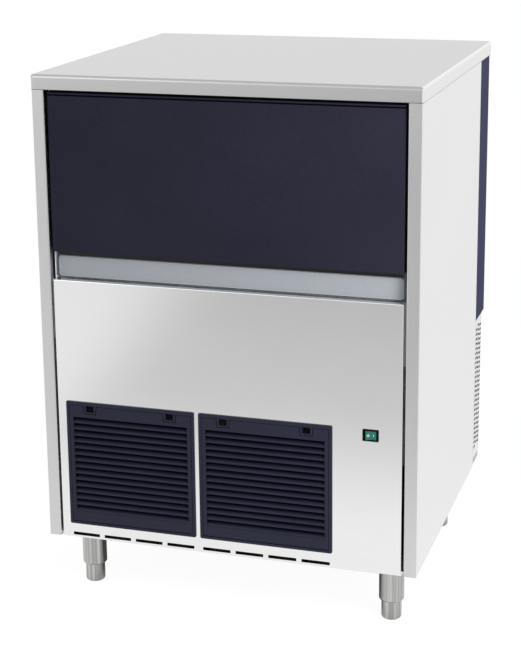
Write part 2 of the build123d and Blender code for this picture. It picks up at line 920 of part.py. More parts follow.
def leg(x, y, label):
    """Stainless tube with a bored plug at its lower end."""
    with BuildPart() as tube:
        with BuildSketch(Plane(origin=(x, y, 0), x_dir=(1, 0, 0), z_dir=(0, -1, 0))):
            Polygon(
                (stem_radius + running_gap, leg_bottom_z),
                (leg_radius - leg_chamfer, leg_bottom_z),
                (leg_radius, leg_bottom_z + leg_chamfer),
                (leg_radius, floor_z),
                (leg_radius - leg_wall, floor_z),
                (leg_radius - leg_wall, leg_bottom_z + leg_plug),
                (stem_radius + running_gap, leg_bottom_z + leg_plug),
                align=None,
            )
        revolve(axis=Axis((x, y, 0), (0, 0, 1)))
    save(tube, label)


def foot(x, y, label):
    """Adjustable foot: a rounded steel cup on a stem that runs in the plug of its leg."""
    pad_top = leg_bottom_z - stem_clearance
    with BuildPart() as pad:
        with BuildSketch(Plane(origin=(x, y, 0), x_dir=(1, 0, 0), z_dir=(0, -1, 0))):
            with BuildLine():
                Polyline(
                    (0, 0),
                    (pad_radius - pad_edge_radius, 0),
                )
                RadiusArc((pad_radius - pad_edge_radius, 0), (pad_radius, pad_edge_radius), -pad_edge_radius)
                Polyline(
                    (pad_radius, pad_edge_radius),
                    (pad_radius, pad_top),
                    (stem_radius, pad_top),
                    (stem_radius, pad_top + stem_length),
                    (0, pad_top + stem_length),
                    (0, 0),
                )
            make_face()
        revolve(axis=Axis((x, y, 0), (0, 0, 1)))
    save(pad, label)


for name, (x, y) in foot_places.items():
    leg(x, y, f"leg_{name}")
    foot(x, y, f"foot_{name}")

# Condenser: a finned block between end plates, with the tube bends showing at each end
coil_low = condenser_left + bend_radius + bend_tube_radius + end_plate
coil_high = condenser_right - bend_radius - bend_tube_radius - end_plate
coil_back_y = condenser_front_y + condenser_depth
coil_bottom_z = floor_z + condenser_bottom
coil_top_z = floor_z + condenser_top
pan_floor_z = floor_z + pan_sheet
coil_middle_y = condenser_front_y + condenser_depth / 2
fin_count = int((coil_high - coil_low) / fin_pitch)
bend_pitch = (coil_top_z - coil_bottom_z) / bend_rows
with BuildPart() as condenser:
    block((coil_low, coil_high), (condenser_front_y, coil_back_y), (coil_bottom_z, coil_top_z))
    with BuildSketch(face_plane.offset(front_y - condenser_front_y)):
        with Locations(((coil_low + coil_high) / 2, (coil_bottom_z + coil_top_z) / 2)):
            with GridLocations(fin_pitch, 0, fin_count, 1):
                Rectangle(fin_groove, coil_top_z - coil_bottom_z)
    extrude(amount=-fin_groove_depth, mode=Mode.SUBTRACT)
    for low in (coil_low - end_plate, coil_high):
        block((low, low + end_plate), (condenser_front_y, coil_back_y), (pan_floor_z, coil_top_z))
    for row in range(bend_rows):
        z = coil_bottom_z + (row + 0.5) * bend_pitch
        for x, turn in ((coil_high + end_plate, -90), (coil_low - end_plate, 90)):
            bend_plane = Plane(origin=(x, coil_middle_y, z), x_dir=(0, 0, 1), z_dir=(0, 1, 0))
            with Locations(bend_plane.location * Location((0, 0, 0), (0, 0, turn - 90))):
                Torus(bend_radius, bend_tube_radius, major_angle=180)
save(condenser, "condenser")

# Fan cowl: a flanged plate behind the condenser with a short round duct
fan_x = (condenser_left + condenser_right) / 2
fan_z = (coil_bottom_z + coil_top_z) / 2
shroud_back_y = coil_back_y + shroud_sheet
ring_back_y = coil_back_y + fan_ring_depth
fan_plane = Plane(origin=(fan_x, coil_back_y, fan_z), x_dir=(1, 0, 0), z_dir=(0, 1, 0))
with BuildPart() as fan_cowl:
    block((coil_low, coil_high), (coil_back_y, shroud_back_y), (pan_floor_z, coil_top_z))
    with BuildSketch(fan_plane):
        Circle(fan_ring_radius + shroud_sheet)
    extrude(amount=fan_ring_depth)
    with BuildSketch(fan_plane):
        Circle(fan_ring_radius)
    extrude(amount=fan_ring_depth, mode=Mode.SUBTRACT)
save(fan_cowl, "fan_cowl")

# Fan: curved blades on a hub that is carried on the motor's shaft
blade_middle_y = coil_back_y + fan_ring_depth / 2
hub_front_y = blade_middle_y - fan_hub_depth / 2
motor_front_y = ring_back_y + fan_motor_gap
with BuildPart() as fan:
    rod((fan_x, hub_front_y, fan_z), (fan_x, hub_front_y + fan_hub_depth, fan_z), fan_hub_radius)
    for index in range(fan_blade_count):
        angle = index * 360 / fan_blade_count
        blade_plane = Plane(
            origin=(fan_x, blade_middle_y, fan_z),
            x_dir=(-sin(radians(angle)), 0, cos(radians(angle))),
            z_dir=(cos(radians(angle)), 0, sin(radians(angle))),
        )
        with BuildSketch(blade_plane.offset(fan_hub_radius - fan_blade_sink)):
            Rectangle(blade_root_width, fan_blade_thickness, rotation=blade_root_angle)
        with BuildSketch(blade_plane.offset(fan_radius - fan_blade_sink)):
            Rectangle(blade_tip_width, fan_blade_thickness, rotation=blade_tip_angle)
        loft()
    shaft_end = (fan_x, motor_front_y + fan_motor_gap, fan_z)
    rod((fan_x, hub_front_y + fan_hub_depth, fan_z), shaft_end, fan_shaft_radius)
save(fan, "fan")

with BuildPart() as fan_motor:
    motor_plane = Plane(origin=(fan_x, motor_front_y, fan_z), x_dir=(1, 0, 0), z_dir=(0, 1, 0))
    with BuildSketch(motor_plane):
        Circle(fan_motor_radius)
    extrude(amount=fan_motor_length)
    chamfer(fan_motor.edges().filter_by(GeomType.CIRCLE), fan_motor_chamfer)
    rod(
        (fan_x, motor_front_y, fan_z),
        (fan_x, motor_front_y + fan_motor_gap + seat, fan_z),
        fan_shaft_radius + running_gap,
        mode=Mode.SUBTRACT,
    )
save(fan_motor, "fan_motor")

# Fan bracket: a bent strap that holds the motor on the back of the cowl
bracket_half = fan_ring_radius + shroud_sheet + bracket_thickness + seat
with BuildPart() as fan_bracket:
    block(
        (fan_x - bracket_half, fan_x + bracket_half),
        (motor_front_y - bracket_thickness, motor_front_y),
        (fan_z - bracket_width / 2, fan_z + bracket_width / 2),
    )
    for side in (-1, 1):
        x = fan_x + side * (bracket_half - bracket_thickness / 2)
        block(
            (x - bracket_thickness / 2, x + bracket_thickness / 2),
            (shroud_back_y, motor_front_y),
            (fan_z - bracket_width / 2, fan_z + bracket_width / 2),
        )
    rod(
        (fan_x, motor_front_y - bracket_thickness, fan_z),
        (fan_x, motor_front_y, fan_z),
        fan_shaft_radius + seat,
        mode=Mode.SUBTRACT,
    )
save(fan_bracket, "fan_bracket")

# Compressor: two drawn steel shells welded at a seam, with a terminal cover, on a base plate
plate_z = pan_floor_z + grommet_height
dome_z = plate_z + compressor_plate
stub_root_x = compressor_x - compressor_radius + stub_sink
stub_x = compressor_x - compressor_radius - stub_length
discharge_x = stub_x - discharge_reach
upper_stub_z = dome_z + upper_stub_height
lower_stub_z = dome_z + lower_stub_height
with BuildPart() as compressor:
    plate_middle = (compressor_x, compressor_y, plate_z + compressor_plate / 2)
    with Locations(plate_middle):
        Box(compressor_base, compressor_base_depth, compressor_plate)
    with BuildSketch(Plane.XY.offset(dome_z)):
        with Locations((compressor_x, compressor_y)):
            Circle(compressor_radius)
    extrude(amount=compressor_height)
    fillet(compressor.faces().sort_by(Axis.Z)[-1].edges(), compressor_dome)
    with BuildSketch(Plane.XY.offset(dome_z + seam_height)):
        with Locations((compressor_x, compressor_y)):
            Circle(compressor_radius + seam_reach)
    extrude(amount=seam_thickness)
    block(
        (compressor_x - terminal_width / 2, compressor_x + terminal_width / 2),
        (compressor_y - compressor_radius - terminal_depth, compressor_y),
        (dome_z + terminal_bottom, dome_z + terminal_bottom + terminal_height),
    )
    for z in (lower_stub_z, upper_stub_z):
        rod((stub_root_x, compressor_y, z), (stub_x, compressor_y, z), stub_radius)
save(compressor, "compressor")

with BuildPart() as compressor_grommets:
    with BuildSketch(Plane.XY.offset(pan_floor_z)):
        with Locations((compressor_x, compressor_y)):
            with GridLocations(grommet_spacing_x, grommet_spacing_y, 2, 2):
                Circle(grommet_radius)
    extrude(amount=grommet_height)
save(compressor_grommets, "compressor_grommets")

# Gear motor: a reduction gearbox over its motor, on a folded stand
gear_bottom_z = floor_z + gear_bottom
gear_top_z = gear_bottom_z + gear_height
stand_half = gear_width / 2 + gear_stand_sheet
with BuildPart() as gear_motor:
    with BuildSketch(Plane.XY.offset(gear_bottom_z)):
        with Locations((auger_x, auger_y)):
            RectangleRounded(gear_width, gear_depth, gear_fillet)
    extrude(amount=gear_height)
    with BuildSketch(Plane.XY.offset(gear_bottom_z - gear_motor_length)):
        with Locations((auger_x, auger_y)):
            Circle(gear_motor_radius)
    extrude(amount=gear_motor_length)
    rod(
        (auger_x, auger_y, gear_top_z - auger_shaft_sink),
        (auger_x, auger_y, gear_top_z),
        auger_shaft_radius + running_gap,
        mode=Mode.SUBTRACT,
    )
save(gear_motor, "gear_motor")

with BuildPart() as gear_stand:
    block(
        (auger_x - stand_half, auger_x + stand_half),
        (auger_y - gear_depth / 2, auger_y + gear_depth / 2),
        (pan_floor_z, gear_top_z),
    )
    block(
        (auger_x - gear_width / 2, auger_x + gear_width / 2),
        (auger_y - gear_depth / 2, auger_y + gear_depth / 2),
        (pan_floor_z + gear_stand_sheet, gear_top_z),
        mode=Mode.SUBTRACT,
    )
save(gear_stand, "gear_stand")

# Freezing cylinder: an insulated tube that stands on the gearbox
cylinder_top_z = gear_top_z + cylinder_height
with BuildPart() as freezing_cylinder:
    with BuildSketch(Plane.XY.offset(gear_top_z)):
        with Locations((auger_x, auger_y)):
            Circle(cylinder_bore + cylinder_wall)
            Circle(cylinder_bore, mode=Mode.SUBTRACT)
    extrude(amount=cylinder_height)
save(freezing_cylinder, "freezing_cylinder")

# Auger: a stainless core with one helical flight that lifts the ice off the cylinder's wall
head_top_z = cylinder_top_z + head_height
auger_axis = Plane(origin=(auger_x, auger_y, gear_top_z + auger_journal))
with BuildPart() as auger:
    with BuildSketch(Plane.XY.offset(gear_top_z + seat)):
        with Locations((auger_x, auger_y)):
            Circle(auger_core)
    extrude(amount=cylinder_height)
    shaft_low = (auger_x, auger_y, gear_top_z - auger_shaft_sink + seat)
    shaft_high = (auger_x, auger_y, head_top_z + cap_thickness)
    rod(shaft_low, shaft_high, auger_shaft_radius)
    with BuildLine(auger_axis) as flight_path:
        Helix(auger_pitch, auger_pitch * auger_turns, auger_core)
    start = flight_path.line @ 0
    with BuildSketch(Plane(origin=start, x_dir=(1, 0, 0), z_dir=(flight_path.line % 0))):
        with Locations(((auger_radius - auger_core - auger_flight_sink) / 2, 0)):
            Rectangle(auger_radius - auger_core + auger_flight_sink, auger_flight)
    sweep(path=flight_path.line, is_frenet=True)
save(auger, "auger")

# Ice head: a moulded housing on the cylinder that turns the ice into the bin
with BuildPart() as ice_head:
    with BuildSketch(Plane.XY.offset(cylinder_top_z)):
        with Locations((auger_x, auger_y)):
            Circle(head_radius)
    extrude(amount=head_height)
    block(
        (auger_x - spout_width / 2, auger_x + spout_width / 2),
        (bin_inner_back - spout_reach, auger_y),
        (spout_z - spout_height / 2, spout_z + spout_height / 2),
    )
    with BuildSketch(Plane.XY.offset(cylinder_top_z)):
        with Locations((auger_x, auger_y)):
            Circle(head_radius - head_wall)
    extrude(amount=head_height, mode=Mode.SUBTRACT)
    block(
        (auger_x - spout_width / 2 + head_wall, auger_x + spout_width / 2 - head_wall),
        (bin_inner_back - spout_reach, auger_y),
        (spout_z - spout_height / 2 + head_wall, spout_z + spout_height / 2 - head_wall),
        mode=Mode.SUBTRACT,
    )
save(ice_head, "ice_head")

with BuildPart() as head_cap:
    with BuildSketch(Plane.XY.offset(head_top_z)):
        with Locations((auger_x, auger_y)):
            Circle(head_radius)
    extrude(amount=cap_thickness)
    with BuildSketch(Plane.XY.offset(head_top_z + cap_thickness)):
        with Locations((auger_x, auger_y)):
            Circle(cap_boss_radius)
    extrude(amount=cap_boss_height)
    rod(
        (auger_x, auger_y, head_top_z),
        (auger_x, auger_y, head_top_z + cap_thickness + seat),
        auger_shaft_radius + running_gap,
        mode=Mode.SUBTRACT,
    )
save(head_cap, "head_cap")

# Water reservoir: an open moulded tank on the back wall of the bin
tank_bottom_z = floor_z + tank_bottom
tank_top_z = tank_bottom_z + tank_height
tank_back_y = bin_back_y + tank_depth
valve_z = tank_top_z - valve_drop
with BuildPart() as water_tank:
    block(
        (tank_x - tank_width / 2, tank_x + tank_width / 2),
        (bin_back_y, tank_back_y),
        (tank_bottom_z, tank_top_z),
    )
    offset(amount=-tank_wall, openings=water_tank.faces().sort_by(Axis.Z)[-1])
    rod(
        (inlet_x, tank_back_y - 2 * tank_wall, valve_z),
        (inlet_x, tank_back_y + tank_wall, valve_z),
        float_valve_radius + fitting_clearance,
        mode=Mode.SUBTRACT,
    )
save(water_tank, "water_tank")

# Float valve: a brass tube through the tank wall, with two lugs for the float's pin
float_pivot_z = valve_z - float_pivot_drop
float_pivot_y = tank_back_y - tank_wall - lug_width
lug_reach = float_arm_width / 2 + lug_thickness + 2 * seat
valve_front_y = float_pivot_y - lug_width / 2
valve_back_y = valve_front_y + float_valve_length
with BuildPart() as float_valve:
    rod(
        (inlet_x, valve_front_y, valve_z),
        (inlet_x, valve_back_y, valve_z),
        float_valve_radius,
    )
    for side in (-1, 1):
        lug_x = inlet_x + side * (float_arm_width / 2 + seat + lug_thickness / 2)
        block(
            (lug_x - lug_thickness / 2, lug_x + lug_thickness / 2),
            (float_pivot_y - lug_width / 2, float_pivot_y + lug_width / 2),
            (float_pivot_z - lug_width / 2, valve_z),
        )
    rod(
        (inlet_x - lug_reach, float_pivot_y, float_pivot_z),
        (inlet_x + lug_reach, float_pivot_y, float_pivot_z),
        float_pivot_radius + running_gap,
        mode=Mode.SUBTRACT,
    )
save(float_valve, "float_valve")

# Float: a hollow block on an arm, drawn low as in an empty tank
float_tilt = radians(float_arm_tilt)
float_plane = Plane(
    origin=(inlet_x, float_pivot_y, float_pivot_z),
    x_dir=(0, -cos(float_tilt), -sin(float_tilt)),
    z_dir=(1, 0, 0),
)
with BuildPart() as tank_float:
    with BuildSketch(float_plane.offset(-float_arm_width / 2)):
        with Locations((float_arm_length / 2, 0)):
            SlotOverall(float_arm_length + float_arm_width, float_arm_width)
    extrude(amount=float_arm_width)
    with BuildSketch(float_plane.offset(-float_size / 2)):
        with Locations((float_arm_length, 0)):
            RectangleRounded(float_size, float_height, float_arm_width / 2)
    extrude(amount=float_size)
    rod(
        (inlet_x - lug_reach + 2 * seat, float_pivot_y, float_pivot_z),
        (inlet_x + lug_reach - 2 * seat, float_pivot_y, float_pivot_z),
        float_pivot_radius,
    )
save(tank_float, "tank_float")

# Water inlet: a valve body inside the back sheet, a male thread through it and a locknut outside
spigot_end_y = vent_back_y + fitting_reach
inside_y = vent_back_y - sheet
inlet_plane = Plane(origin=(inlet_x, vent_back_y, fitting_z), x_dir=(1, 0, 0), z_dir=(0, 1, 0))
with BuildPart() as water_inlet:
    block(
        (inlet_x - inlet_body, inlet_x + inlet_body),
        (inside_y - inlet_body_depth, inside_y),
        (fitting_z - inlet_body, fitting_z + inlet_body),
    )
    fillet(water_inlet.edges().filter_by(Axis.Y), inlet_body_radius)
    rod((inlet_x, inside_y, fitting_z), (inlet_x, spigot_end_y, fitting_z), inlet_radius)
    with BuildSketch(inlet_plane):
        RegularPolygon(inlet_locknut, 6)
    extrude(amount=locknut_height)
    rod(
        (inlet_x, spigot_end_y - inlet_bore_depth, fitting_z),
        (inlet_x, spigot_end_y, fitting_z),
        inlet_bore,
        mode=Mode.SUBTRACT,
    )
save(water_inlet, "water_inlet")

# Drain outlet: an open tube with a flange inside the sheet and a locknut outside
drain_plane = Plane(origin=(drain_x, vent_back_y, fitting_z), x_dir=(1, 0, 0), z_dir=(0, 1, 0))
with BuildPart() as drain_outlet:
    rod((drain_x, inside_y - flange_thickness, fitting_z), (drain_x, inside_y, fitting_z), drain_hose_radius)
    rod((drain_x, inside_y, fitting_z), (drain_x, spigot_end_y, fitting_z), drain_radius)
    with BuildSketch(drain_plane):
        RegularPolygon(drain_locknut, 6)
    extrude(amount=locknut_height)
    rod(
        (drain_x, inside_y - flange_thickness, fitting_z),
        (drain_x, spigot_end_y, fitting_z),
        drain_bore,
        mode=Mode.SUBTRACT,
    )
save(drain_outlet, "drain_outlet")

# Cable gland: a threaded body with a locknut inside, a hexagon and a rounded clamping nut
gland_plane = Plane(origin=(gland_x, inside_y, fitting_z), x_dir=(1, 0, 0), z_dir=(0, 1, 0))
with BuildPart() as cable_gland:
    with BuildSketch(gland_plane.offset(-flange_thickness)):
        RegularPolygon(gland_nut, 6)
    extrude(amount=flange_thickness)
    with BuildSketch(gland_plane.offset(sheet)):
        RegularPolygon(gland_nut, 6)
    extrude(amount=gland_nut_height)
    rod((gland_x, inside_y, fitting_z), (gland_x, spigot_end_y, fitting_z), gland_radius)
    fillet(cable_gland.faces().sort_by(Axis.Y)[-1].edges(), gland_edge_radius)
    rod(
        (gland_x, inside_y - flange_thickness, fitting_z),
        (gland_x, spigot_end_y, fitting_z),
        cable_radius,
        mode=Mode.SUBTRACT,
    )
save(cable_gland, "cable_gland")


def line(points, radius, bend, label):
    """Tube of one radius along straight runs joined by arcs."""
    with BuildPart() as tube:
        with BuildLine() as route:
            FilletPolyline(*points, radius=bend)
        with BuildSketch(Plane(origin=route.line @ 0, z_dir=route.line % 0)):
            Circle(radius)
        sweep(path=route.line)
    save(tube, label)


# Hoses: water up to the float valve, down to the cylinder, and melt water out of the bin
hose_y = inside_y - inlet_body_depth / 2
inlet_hose_points = [
    (inlet_x, hose_y, fitting_z + inlet_body),
    (inlet_x, hose_y, valve_z),
    (inlet_x, valve_back_y, valve_z),
]
line(inlet_hose_points, inlet_hose_radius, inlet_hose_bend, "inlet_hose")

cylinder_side_x = auger_x - cylinder_bore - cylinder_wall
feed_z = gear_top_z + feed_height
feed_hose_points = [
    (tank_outlet_x, auger_y, tank_bottom_z),
    (tank_outlet_x, auger_y, feed_z),
    (cylinder_side_x, auger_y, feed_z),
]
line(feed_hose_points, feed_hose_radius, feed_hose_bend, "feed_hose")

drain_hose_points = [
    (drain_x, bin_drain_y, bin_bottom_z),
    (drain_x, bin_drain_y, fitting_z),
    (drain_x, inside_y - flange_thickness, fitting_z),
]
line(drain_hose_points, drain_hose_radius, drain_hose_bend, "drain_hose")

# Copper lines between compressor, condenser, filter drier and freezing cylinder
coil_end_x = coil_high + end_plate
turn_x = condenser_right + line_side_gap
coil_inlet_z = coil_top_z - bend_pitch
coil_outlet_z = coil_bottom_z + bend_pitch
discharge_points = [
    (stub_x, compressor_y, upper_stub_z),
    (discharge_x, compressor_y, upper_stub_z),
    (discharge_x, discharge_y, upper_stub_z),
    (turn_x, discharge_y, upper_stub_z),
    (turn_x, coil_middle_y, coil_inlet_z),
    (coil_end_x, coil_middle_y, coil_inlet_z),
]
line(discharge_points, copper_radius, copper_bend, "discharge_line")

suction_z = cylinder_top_z - suction_drop
suction_points = [
    (auger_x + cylinder_bore + cylinder_wall, auger_y, suction_z),
    (suction_x, auger_y, suction_z),
    (suction_x, auger_y, lower_stub_z),
    (suction_x, compressor_y, lower_stub_z),
    (stub_x, compressor_y, lower_stub_z),
]
line(suction_points, copper_radius, copper_bend, "suction_line")

liquid_z = gear_top_z + liquid_height
drier_end_y = drier_y + drier_length
liquid_in_points = [
    (coil_low - end_plate, coil_middle_y, coil_outlet_z),
    (liquid_x, coil_middle_y, coil_outlet_z),
    (liquid_x, drier_y, coil_outlet_z),
]
line(liquid_in_points, copper_radius, copper_bend, "liquid_line_front")
liquid_out_points = [
    (liquid_x, drier_end_y, coil_outlet_z),
    (liquid_x, auger_y, coil_outlet_z),
    (liquid_x, auger_y, liquid_z),
    (cylinder_side_x, auger_y, liquid_z),
]
line(liquid_out_points, copper_radius, copper_bend, "liquid_line_rear")

with BuildPart() as filter_drier:
    rod((liquid_x, drier_y, coil_outlet_z), (liquid_x, drier_end_y, coil_outlet_z), drier_radius)
    chamfer(filter_drier.edges().filter_by(GeomType.CIRCLE), drier_taper)
save(filter_drier, "filter_drier")

# Electrical box: a moulded case with a lid, hung under the bin behind the switch
box_front_y = front_y + switch_body_depth + box_gap
with BuildPart() as electrical_box:
    block(
        (box_x - box_width / 2, box_x + box_width / 2),
        (box_front_y + box_lid, box_front_y + box_depth),
        (bin_bottom_z - box_height, bin_bottom_z),
    )
    fillet(electrical_box.edges().filter_by(Axis.Y), box_edge)
    block(
        (box_x - box_width / 2 - box_lid, box_x + box_width / 2 + box_lid),
        (box_front_y, box_front_y + box_lid),
        (bin_bottom_z - box_height - box_lid, bin_bottom_z - seat),
    )
save(electrical_box, "electrical_box")
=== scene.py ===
from math import cos, pi, radians, sin

import bmesh
import bpy
from mathutils import Matrix, Vector


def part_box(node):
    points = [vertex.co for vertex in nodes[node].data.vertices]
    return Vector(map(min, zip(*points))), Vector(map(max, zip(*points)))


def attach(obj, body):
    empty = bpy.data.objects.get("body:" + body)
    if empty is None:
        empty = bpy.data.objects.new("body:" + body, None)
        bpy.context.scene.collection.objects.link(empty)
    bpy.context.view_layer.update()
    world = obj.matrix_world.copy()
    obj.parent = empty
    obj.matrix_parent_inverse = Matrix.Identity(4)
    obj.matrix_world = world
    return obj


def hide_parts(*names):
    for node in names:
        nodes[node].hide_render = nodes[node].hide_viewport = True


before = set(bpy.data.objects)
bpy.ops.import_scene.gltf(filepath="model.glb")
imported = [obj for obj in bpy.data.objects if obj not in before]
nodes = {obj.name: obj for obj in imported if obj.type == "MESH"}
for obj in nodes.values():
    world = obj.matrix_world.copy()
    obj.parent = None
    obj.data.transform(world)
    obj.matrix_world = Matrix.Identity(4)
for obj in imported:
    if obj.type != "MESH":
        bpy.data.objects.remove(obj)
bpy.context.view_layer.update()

scene = bpy.context.scene
scene.view_settings.view_transform = "Standard"


# Camera: it stands to the right of the machine and looks down on it, as in the photograph.
# Its small shift keeps the machine's uprights nearly parallel.
image_width, image_height = 521, 662
focal_pixels = 1650
optical_centre = (252.1, 252.0)
camera_place = Vector((0.939, -3.105, 1.437))
camera_yaw, camera_pitch, camera_roll = 17.7, 13.9, -0.66

lens = bpy.data.cameras.new("camera")
lens.sensor_width = 36
lens.lens = focal_pixels / image_height * lens.sensor_width
lens.shift_x = (image_width / 2 - optical_centre[0]) / image_height
lens.shift_y = (optical_centre[1] - image_height / 2) / image_height
camera = bpy.data.objects.new("camera", lens)
turn = Matrix.Rotation(radians(camera_yaw), 4, "Z")
turn @= Matrix.Rotation(radians(90 - camera_pitch), 4, "X")
turn @= Matrix.Rotation(radians(camera_roll), 4, "Z")
camera.matrix_world = Matrix.Translation(camera_place) @ turn
scene.collection.objects.link(camera)
scene.camera = camera


# Studio: a pale floor, a white room and three large soft lamps.
# The room is white to the camera and in reflections, and grey where it only lights.
# In reflections the floor darkens away from the machine and in its shadow under the cabinet.
class Wire:
    """One output of a material's node, with the arithmetic that the finishes use."""

    def __init__(self, finish, socket):
        self.finish, self.socket = finish, socket

    def maths(self, operation, other=0.0, reflected=False):
        first, second = (other, self) if reflected else (self, other)
        return self.finish.node("ShaderNodeMath", {"operation": operation}, {0: first, 1: second})

    def __add__(self, other):
        return self.maths("ADD", other)

    def __sub__(self, other):
        return self.maths("SUBTRACT", other)

    def __rsub__(self, other):
        return self.maths("SUBTRACT", other, reflected=True)

    def __mul__(self, other):
        return self.maths("MULTIPLY", other)

    def __abs__(self):
        return self.maths("ABSOLUTE")

    __radd__ = __add__
    __rmul__ = __mul__


class Finish:
    """A material made of nodes. Constants are set on the sockets of its own shader."""

    def __init__(self, name, **constants):
        self.material = bpy.data.materials.new(name)
        self.material.use_nodes = True
        self.tree = self.material.node_tree
        self.shader = self.tree.nodes["Principled BSDF"]
        for socket, value in constants.items():
            self.shader.inputs[socket.replace("_", " ")].default_value = value

    def node(self, kind, settings=None, inputs=None, output=0):
        made = self.tree.nodes.new(kind)
        for name, value in (settings or {}).items():
            setattr(made, name, value)
        for name, value in (inputs or {}).items():
            if isinstance(value, Wire):
                self.tree.links.new(value.socket, made.inputs[name])
            else:
                made.inputs[name].default_value = value
        return Wire(self, made.outputs[output])

    def feed(self, socket, wire):
        self.tree.links.new(wire.socket, self.shader.inputs[socket])

    def axis(self, name):
        """Distance along one axis of the object, in metres."""
        at = self.node("ShaderNodeTexCoord", output="Object")
        return self.node("ShaderNodeSeparateXYZ", inputs={"Vector": at}, output="XYZ".index(name))

    def place(self, stretch=(1, 1, 1)):
        at = self.node("ShaderNodeTexCoord", output="Object")
        return self.node("ShaderNodeMapping", inputs={"Vector": at, "Scale": stretch})

    def noise(self, scale, detail, stretch=(1, 1, 1)):
        inputs = {"Vector": self.place(stretch), "Scale": scale, "Detail": detail}
        return self.node("ShaderNodeTexNoise", inputs=inputs)

    def mix(self, factor, first, second):
        inputs = {"Factor": factor, 6: first, 7: second}
        return self.node("ShaderNodeMix", {"data_type": "RGBA"}, inputs, output=2)

    def ramp(self, factor, zero, one):
        """Smooth step of a factor from 0, at the value zero, to 1, at the value one."""
        inputs = {"Value": factor, "From Min": zero, "From Max": one}
        return self.node("ShaderNodeMapRange", {"interpolation_type": "SMOOTHSTEP"}, inputs)

    def shaded(self, colour, amount, low, high):
        """Colour made a little darker or lighter as an amount goes from 0 to 1."""
        level = self.mix(amount, grey(low), grey(high))
        settings = {"data_type": "RGBA", "blend_type": "MULTIPLY"}
        return self.node("ShaderNodeMix", settings, {"Factor": 1.0, 6: colour, 7: level}, output=2)

    def paint_shade(self, amount, tone):
        """Turns the base colour to a darker tone by an amount: painted shade, as in a recess, a joint
        or under a lip.
        """
        colour = Wire(self, self.shader.inputs["Base Color"].links[0].from_socket)
        self.feed("Base Color", self.mix(amount, colour, tone))

    def bump(self, height, distance, strength):
        inputs = {"Height": height, "Distance": distance, "Strength": strength}
        self.feed("Normal", self.node("ShaderNodeBump", inputs=inputs))


class Room(Finish):
    """The world round the machine, made of nodes as a material is."""

    def __init__(self, name):
        self.world = bpy.data.worlds.new(name)
        self.world.use_nodes = True
        self.tree = self.world.node_tree
        self.shader = self.tree.nodes["Background"]


def shade(value, gamma=2.2):
    """Linear colour from display values between 0 and 255."""
    return tuple((v / 255) ** gamma for v in value) + (1,)


def grey(level):
    """Linear neutral colour of one level."""
    return (level, level, level, 1)


floor_finish = Finish("studio_floor", Roughness=0.9, Base_Color=grey(0.86))
camera_ray = floor_finish.node("ShaderNodeLightPath", output="Is Camera Ray")
glossy_ray = floor_finish.node("ShaderNodeLightPath", output="Is Glossy Ray")
clear_ray = floor_finish.node("ShaderNodeLightPath", output="Is Transmission Ray")
floor_x, floor_y = floor_finish.axis("X"), floor_finish.axis("Y")
# Places on the floor are in metres from the machine's middle; a blur is how far a step spreads.
lit_far, lit_near = -1.65, -0.75
edge_slope, edge_offset, edge_blur = 0.167, 0.52, 0.14
left_far, left_near = -4.2, -2.8
dim_far, dim_near = -2.7, -1.9
shadow_x, shadow_y, shadow_blur = 0.25, 0.22, 0.12
far_floor, dim_floor, lit_floor = grey(0.49), grey(0.6), grey(0.94)
under_floor, backdrop = grey(0.09), grey(1.05)
glow_share, floor_reach, floor_level = 0.9, 14, -0.0005

left_side = floor_finish.ramp(edge_slope * floor_y - edge_offset - floor_x, -edge_blur, edge_blur)
left_side = left_side * floor_finish.ramp(floor_y, left_far, left_near)
lit = floor_finish.ramp(floor_y, lit_far, lit_near).maths("MAXIMUM", left_side)
distance_tone = floor_finish.mix(floor_finish.ramp(floor_y, dim_far, dim_near), far_floor, dim_floor)
under = floor_finish.ramp(abs(floor_x), shadow_x + shadow_blur, shadow_x)
under = under * floor_finish.ramp(abs(floor_y), shadow_y + shadow_blur, shadow_y)
glow_colour = floor_finish.mix(lit, distance_tone, lit_floor)
glow_colour = floor_finish.mix(under, glow_colour, under_floor)
glow_colour = floor_finish.mix(camera_ray, glow_colour, backdrop)
glow = floor_finish.node("ShaderNodeEmission", inputs={"Color": glow_colour, "Strength": 1.0})
seen = (camera_ray + glossy_ray + clear_ray) * glow_share
plain = Wire(floor_finish, floor_finish.shader.outputs[0])
blended = floor_finish.node("ShaderNodeMixShader", inputs={0: seen, 1: plain, 2: glow})
floor_surface = floor_finish.tree.nodes["Material Output"].inputs["Surface"]
floor_finish.tree.links.new(blended.socket, floor_surface)
floor_shape = bmesh.new()
bmesh.ops.create_grid(floor_shape, x_segments=1, y_segments=1, size=floor_reach)
floor_mesh = bpy.data.meshes.new("studio_floor")
floor_shape.to_mesh(floor_mesh)
floor_shape.free()
floor_mesh.materials.append(floor_finish.material)
floor = bpy.data.objects.new("studio_floor", floor_mesh)
floor.location.z = floor_level
scene.collection.objects.link(floor)

room = Room("room")
scene.world = room.world
room_light = 0.62
camera_ray = room.node("ShaderNodeLightPath", output="Is Camera Ray")
glossy_ray = room.node("ShaderNodeLightPath", output="Is Glossy Ray")
seen_white = camera_ray.maths("MAXIMUM", glossy_ray)
room.feed("Strength", room_light + (1 - room_light) * seen_white)
room.shader.inputs["Color"].default_value = grey(1)

